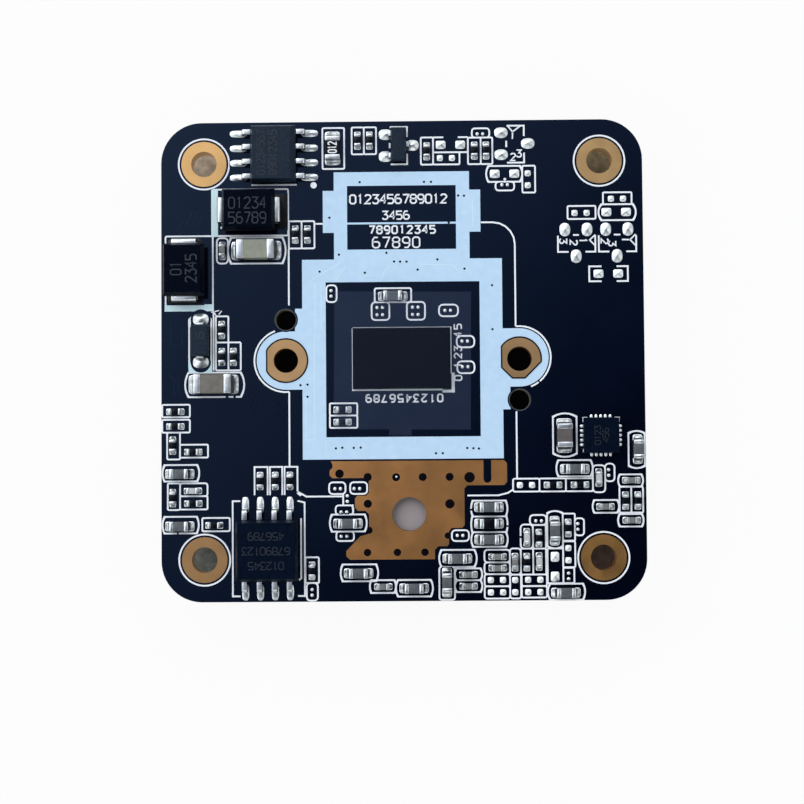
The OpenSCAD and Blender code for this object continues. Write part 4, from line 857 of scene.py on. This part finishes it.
def floor():
    """White round the object, with painted shade and a painted glow where it shows through the holes; it
    keeps the shadow.
    """
    bm = bmesh.new()
    bmesh.ops.create_grid(bm, x_segments=1, y_segments=1, size=3)
    mesh = bpy.data.meshes.new("floor")
    bm.to_mesh(mesh)
    bm.free()
    obj = bpy.data.objects.new("floor", mesh)
    bpy.context.collection.objects.link(obj)
    obj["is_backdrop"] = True
    s = Shader("floor", (0.8, 0.8, 0.8), 0.9)
    place = s.node("ShaderNodeSeparateXYZ", Vector=s.coords).outputs
    # How far a point lies outside the square of the board
    past = [s.math("MAXIMUM", s.math("SUBTRACT", s.math("ABSOLUTE", place[axis]), 17.8 * MM), 0.0)
            for axis in "XY"]
    away = s.math("SQRT", s.math("ADD", s.math("POWER", past[0], 2.0), s.math("POWER", past[1], 2.0)))
    grain = s.noise(1600, 4)
    cover = (0.8, 0.8, 0.8)
    # Painted shade: darker spots on the floor where it shows through the holes
    for x, y, size, dark, light in SHADE_UNDER_HOLES:
        shade_spot = s.remap(s.distance(x, y), size * MM, 1.4 * size * MM, 1, 0, "SMOOTHSTEP")
        cover = s.mix(shade_spot, cover, s.ramp(grain, [(0.35, dark), (0.65, light)]))
    s.color(cover)
    clear = s.remap(away, 1.5 * MM, 3.2 * MM, 0, 0.93, "SMOOTHSTEP")
    seen = s.node("ShaderNodeLightPath").outputs["Is Camera Ray"]
    glow = s.node("ShaderNodeEmission", Color=(1, 1, 1, 1), Strength=1.0)
    blend = s.node("ShaderNodeMixShader", Fac=s.math("MULTIPLY", clear, seen))
    # Painted light: the floor under the ground hole glows for the camera, darker towards the rim as painted
    # shade
    s.wire(s.math("MULTIPLY", s.within(0.5, -13.6, 3), seen), s.bsdf.inputs["Emission Strength"])
    reach = s.math("MULTIPLY", s.distance(*GROUND_HOLE), 0.5 / MM)
    s.wire(s.ramp(reach, PAINTED_HOLE_GLOW), s.bsdf.inputs["Emission Color"])
    s.tree.links.new(s.bsdf.outputs[0], blend.inputs[1])
    s.tree.links.new(glow.outputs[0], blend.inputs[2])
    s.tree.links.new(blend.outputs[0], s.tree.nodes["Material Output"].inputs["Surface"])
    mesh.materials.append(s.mat)


def world():
    """Bright low down, dark overhead, and brighter on the side of the window."""
    w = bpy.data.worlds.new("studio")
    bpy.context.scene.world = w
    w.use_nodes = True
    tree = w.node_tree
    new, link = tree.nodes.new, tree.links.new
    coords = new("ShaderNodeTexCoord").outputs["Generated"]
    split = new("ShaderNodeSeparateXYZ")
    link(coords, split.inputs[0])
    dome_light = new("ShaderNodeValToRGB")
    link(split.outputs["Z"], dome_light.inputs[0])
    fill(dome_light, [(0.3, (1, 1, 1)), (0.7, (0.9, 0.92, 0.95)), (0.87, (0.12, 0.14, 0.18)),
                      (0.96, (0, 0, 0))])
    # How far a direction points to the window, at the upper left of the picture
    toward = new("ShaderNodeVectorMath")
    toward.operation = "DOT_PRODUCT"
    link(coords, toward.inputs[0])
    toward.inputs[1].default_value = (-0.5, 0.5, 0)
    side = new("ShaderNodeMapRange")
    link(toward.outputs["Value"], side.inputs["Value"])
    side.inputs["From Min"].default_value = -0.5
    side.inputs["From Max"].default_value = 0.5
    side.inputs["To Min"].default_value = 0.55
    side.inputs["To Max"].default_value = 1.1
    sided = new("ShaderNodeVectorMath")
    sided.operation = "SCALE"
    link(dome_light.outputs[0], sided.inputs[0])
    link(side.outputs[0], sided.inputs["Scale"])
    shift = new("ShaderNodeMath")
    shift.operation = "ADD"
    link(toward.outputs["Value"], shift.inputs[0])
    shift.inputs[1].default_value = 0.1
    glow = new("ShaderNodeValToRGB")
    link(shift.outputs[0], glow.inputs[0])
    fill(glow, [(0, (0, 0, 0)), (0.05, (0.005, 0.005, 0.012)), (0.1, (0.055, 0.08, 0.14)),
                (0.14, (0.21, 0.24, 0.33)), (0.2, (0.37, 0.385, 0.49)), (0.265, (0.56, 0.57, 0.7)),
                (0.5, (0.84, 0.83, 0.9))])
    total = new("ShaderNodeMix")
    total.data_type, total.blend_type = "RGBA", "LIGHTEN"
    total.inputs[0].default_value = 1
    link(sided.outputs[0], total.inputs[6])
    link(glow.outputs[0], total.inputs[7])
    seen = new("ShaderNodeMix")
    seen.data_type = "RGBA"
    link(new("ShaderNodeLightPath").outputs["Is Camera Ray"], seen.inputs[0])
    link(total.outputs[2], seen.inputs[6])
    seen.inputs[7].default_value = (0.97, 0.97, 0.97, 1)
    link(seen.outputs[2], tree.nodes["Background"].inputs["Color"])


def lamp(name, azimuth, elevation, size, power):
    """A round lamp half a metre off, aimed at the object: degrees, metres and watts."""
    data = bpy.data.lights.new(name, "AREA")
    data.shape, data.size, data.energy = "DISK", size, power
    obj = bpy.data.objects.new(name, data)
    a, e = math.radians(azimuth), math.radians(elevation)
    way = Vector((math.cos(a) * math.cos(e), math.sin(a) * math.cos(e), math.sin(e)))
    obj.location = way * 0.5
    obj.rotation_euler = way.to_track_quat("Z", "Y").to_euler()
    bpy.context.collection.objects.link(obj)


floor()
world()
lamp("key", 135, 50, 0.28, 0.62)
lamp("left", 205, 42, 0.24, 0.21)
lamp("top", 75, 44, 0.24, 0.25)
lamp("right", 0, 38, 0.24, 0.13)
lamp("low", 280, 40, 0.24, 0.15)

# The photograph's view, solved from the four corner holes
camera_data = bpy.data.cameras.new("camera")
camera_data.lens = 78
camera_data.sensor_width = 36
camera_data.clip_start, camera_data.clip_end = 0.01, 10
camera = bpy.data.objects.new("camera", camera_data)
camera.location = Vector((1.96, -10.24, 154.65)) * MM
camera.rotation_euler = [math.radians(a) for a in (2.5385, 0.8, -0.4042)]
bpy.context.collection.objects.link(camera)
bpy.context.scene.camera = camera
bpy.context.scene.view_settings.view_transform = "Standard"

low, high = (list(v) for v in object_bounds())
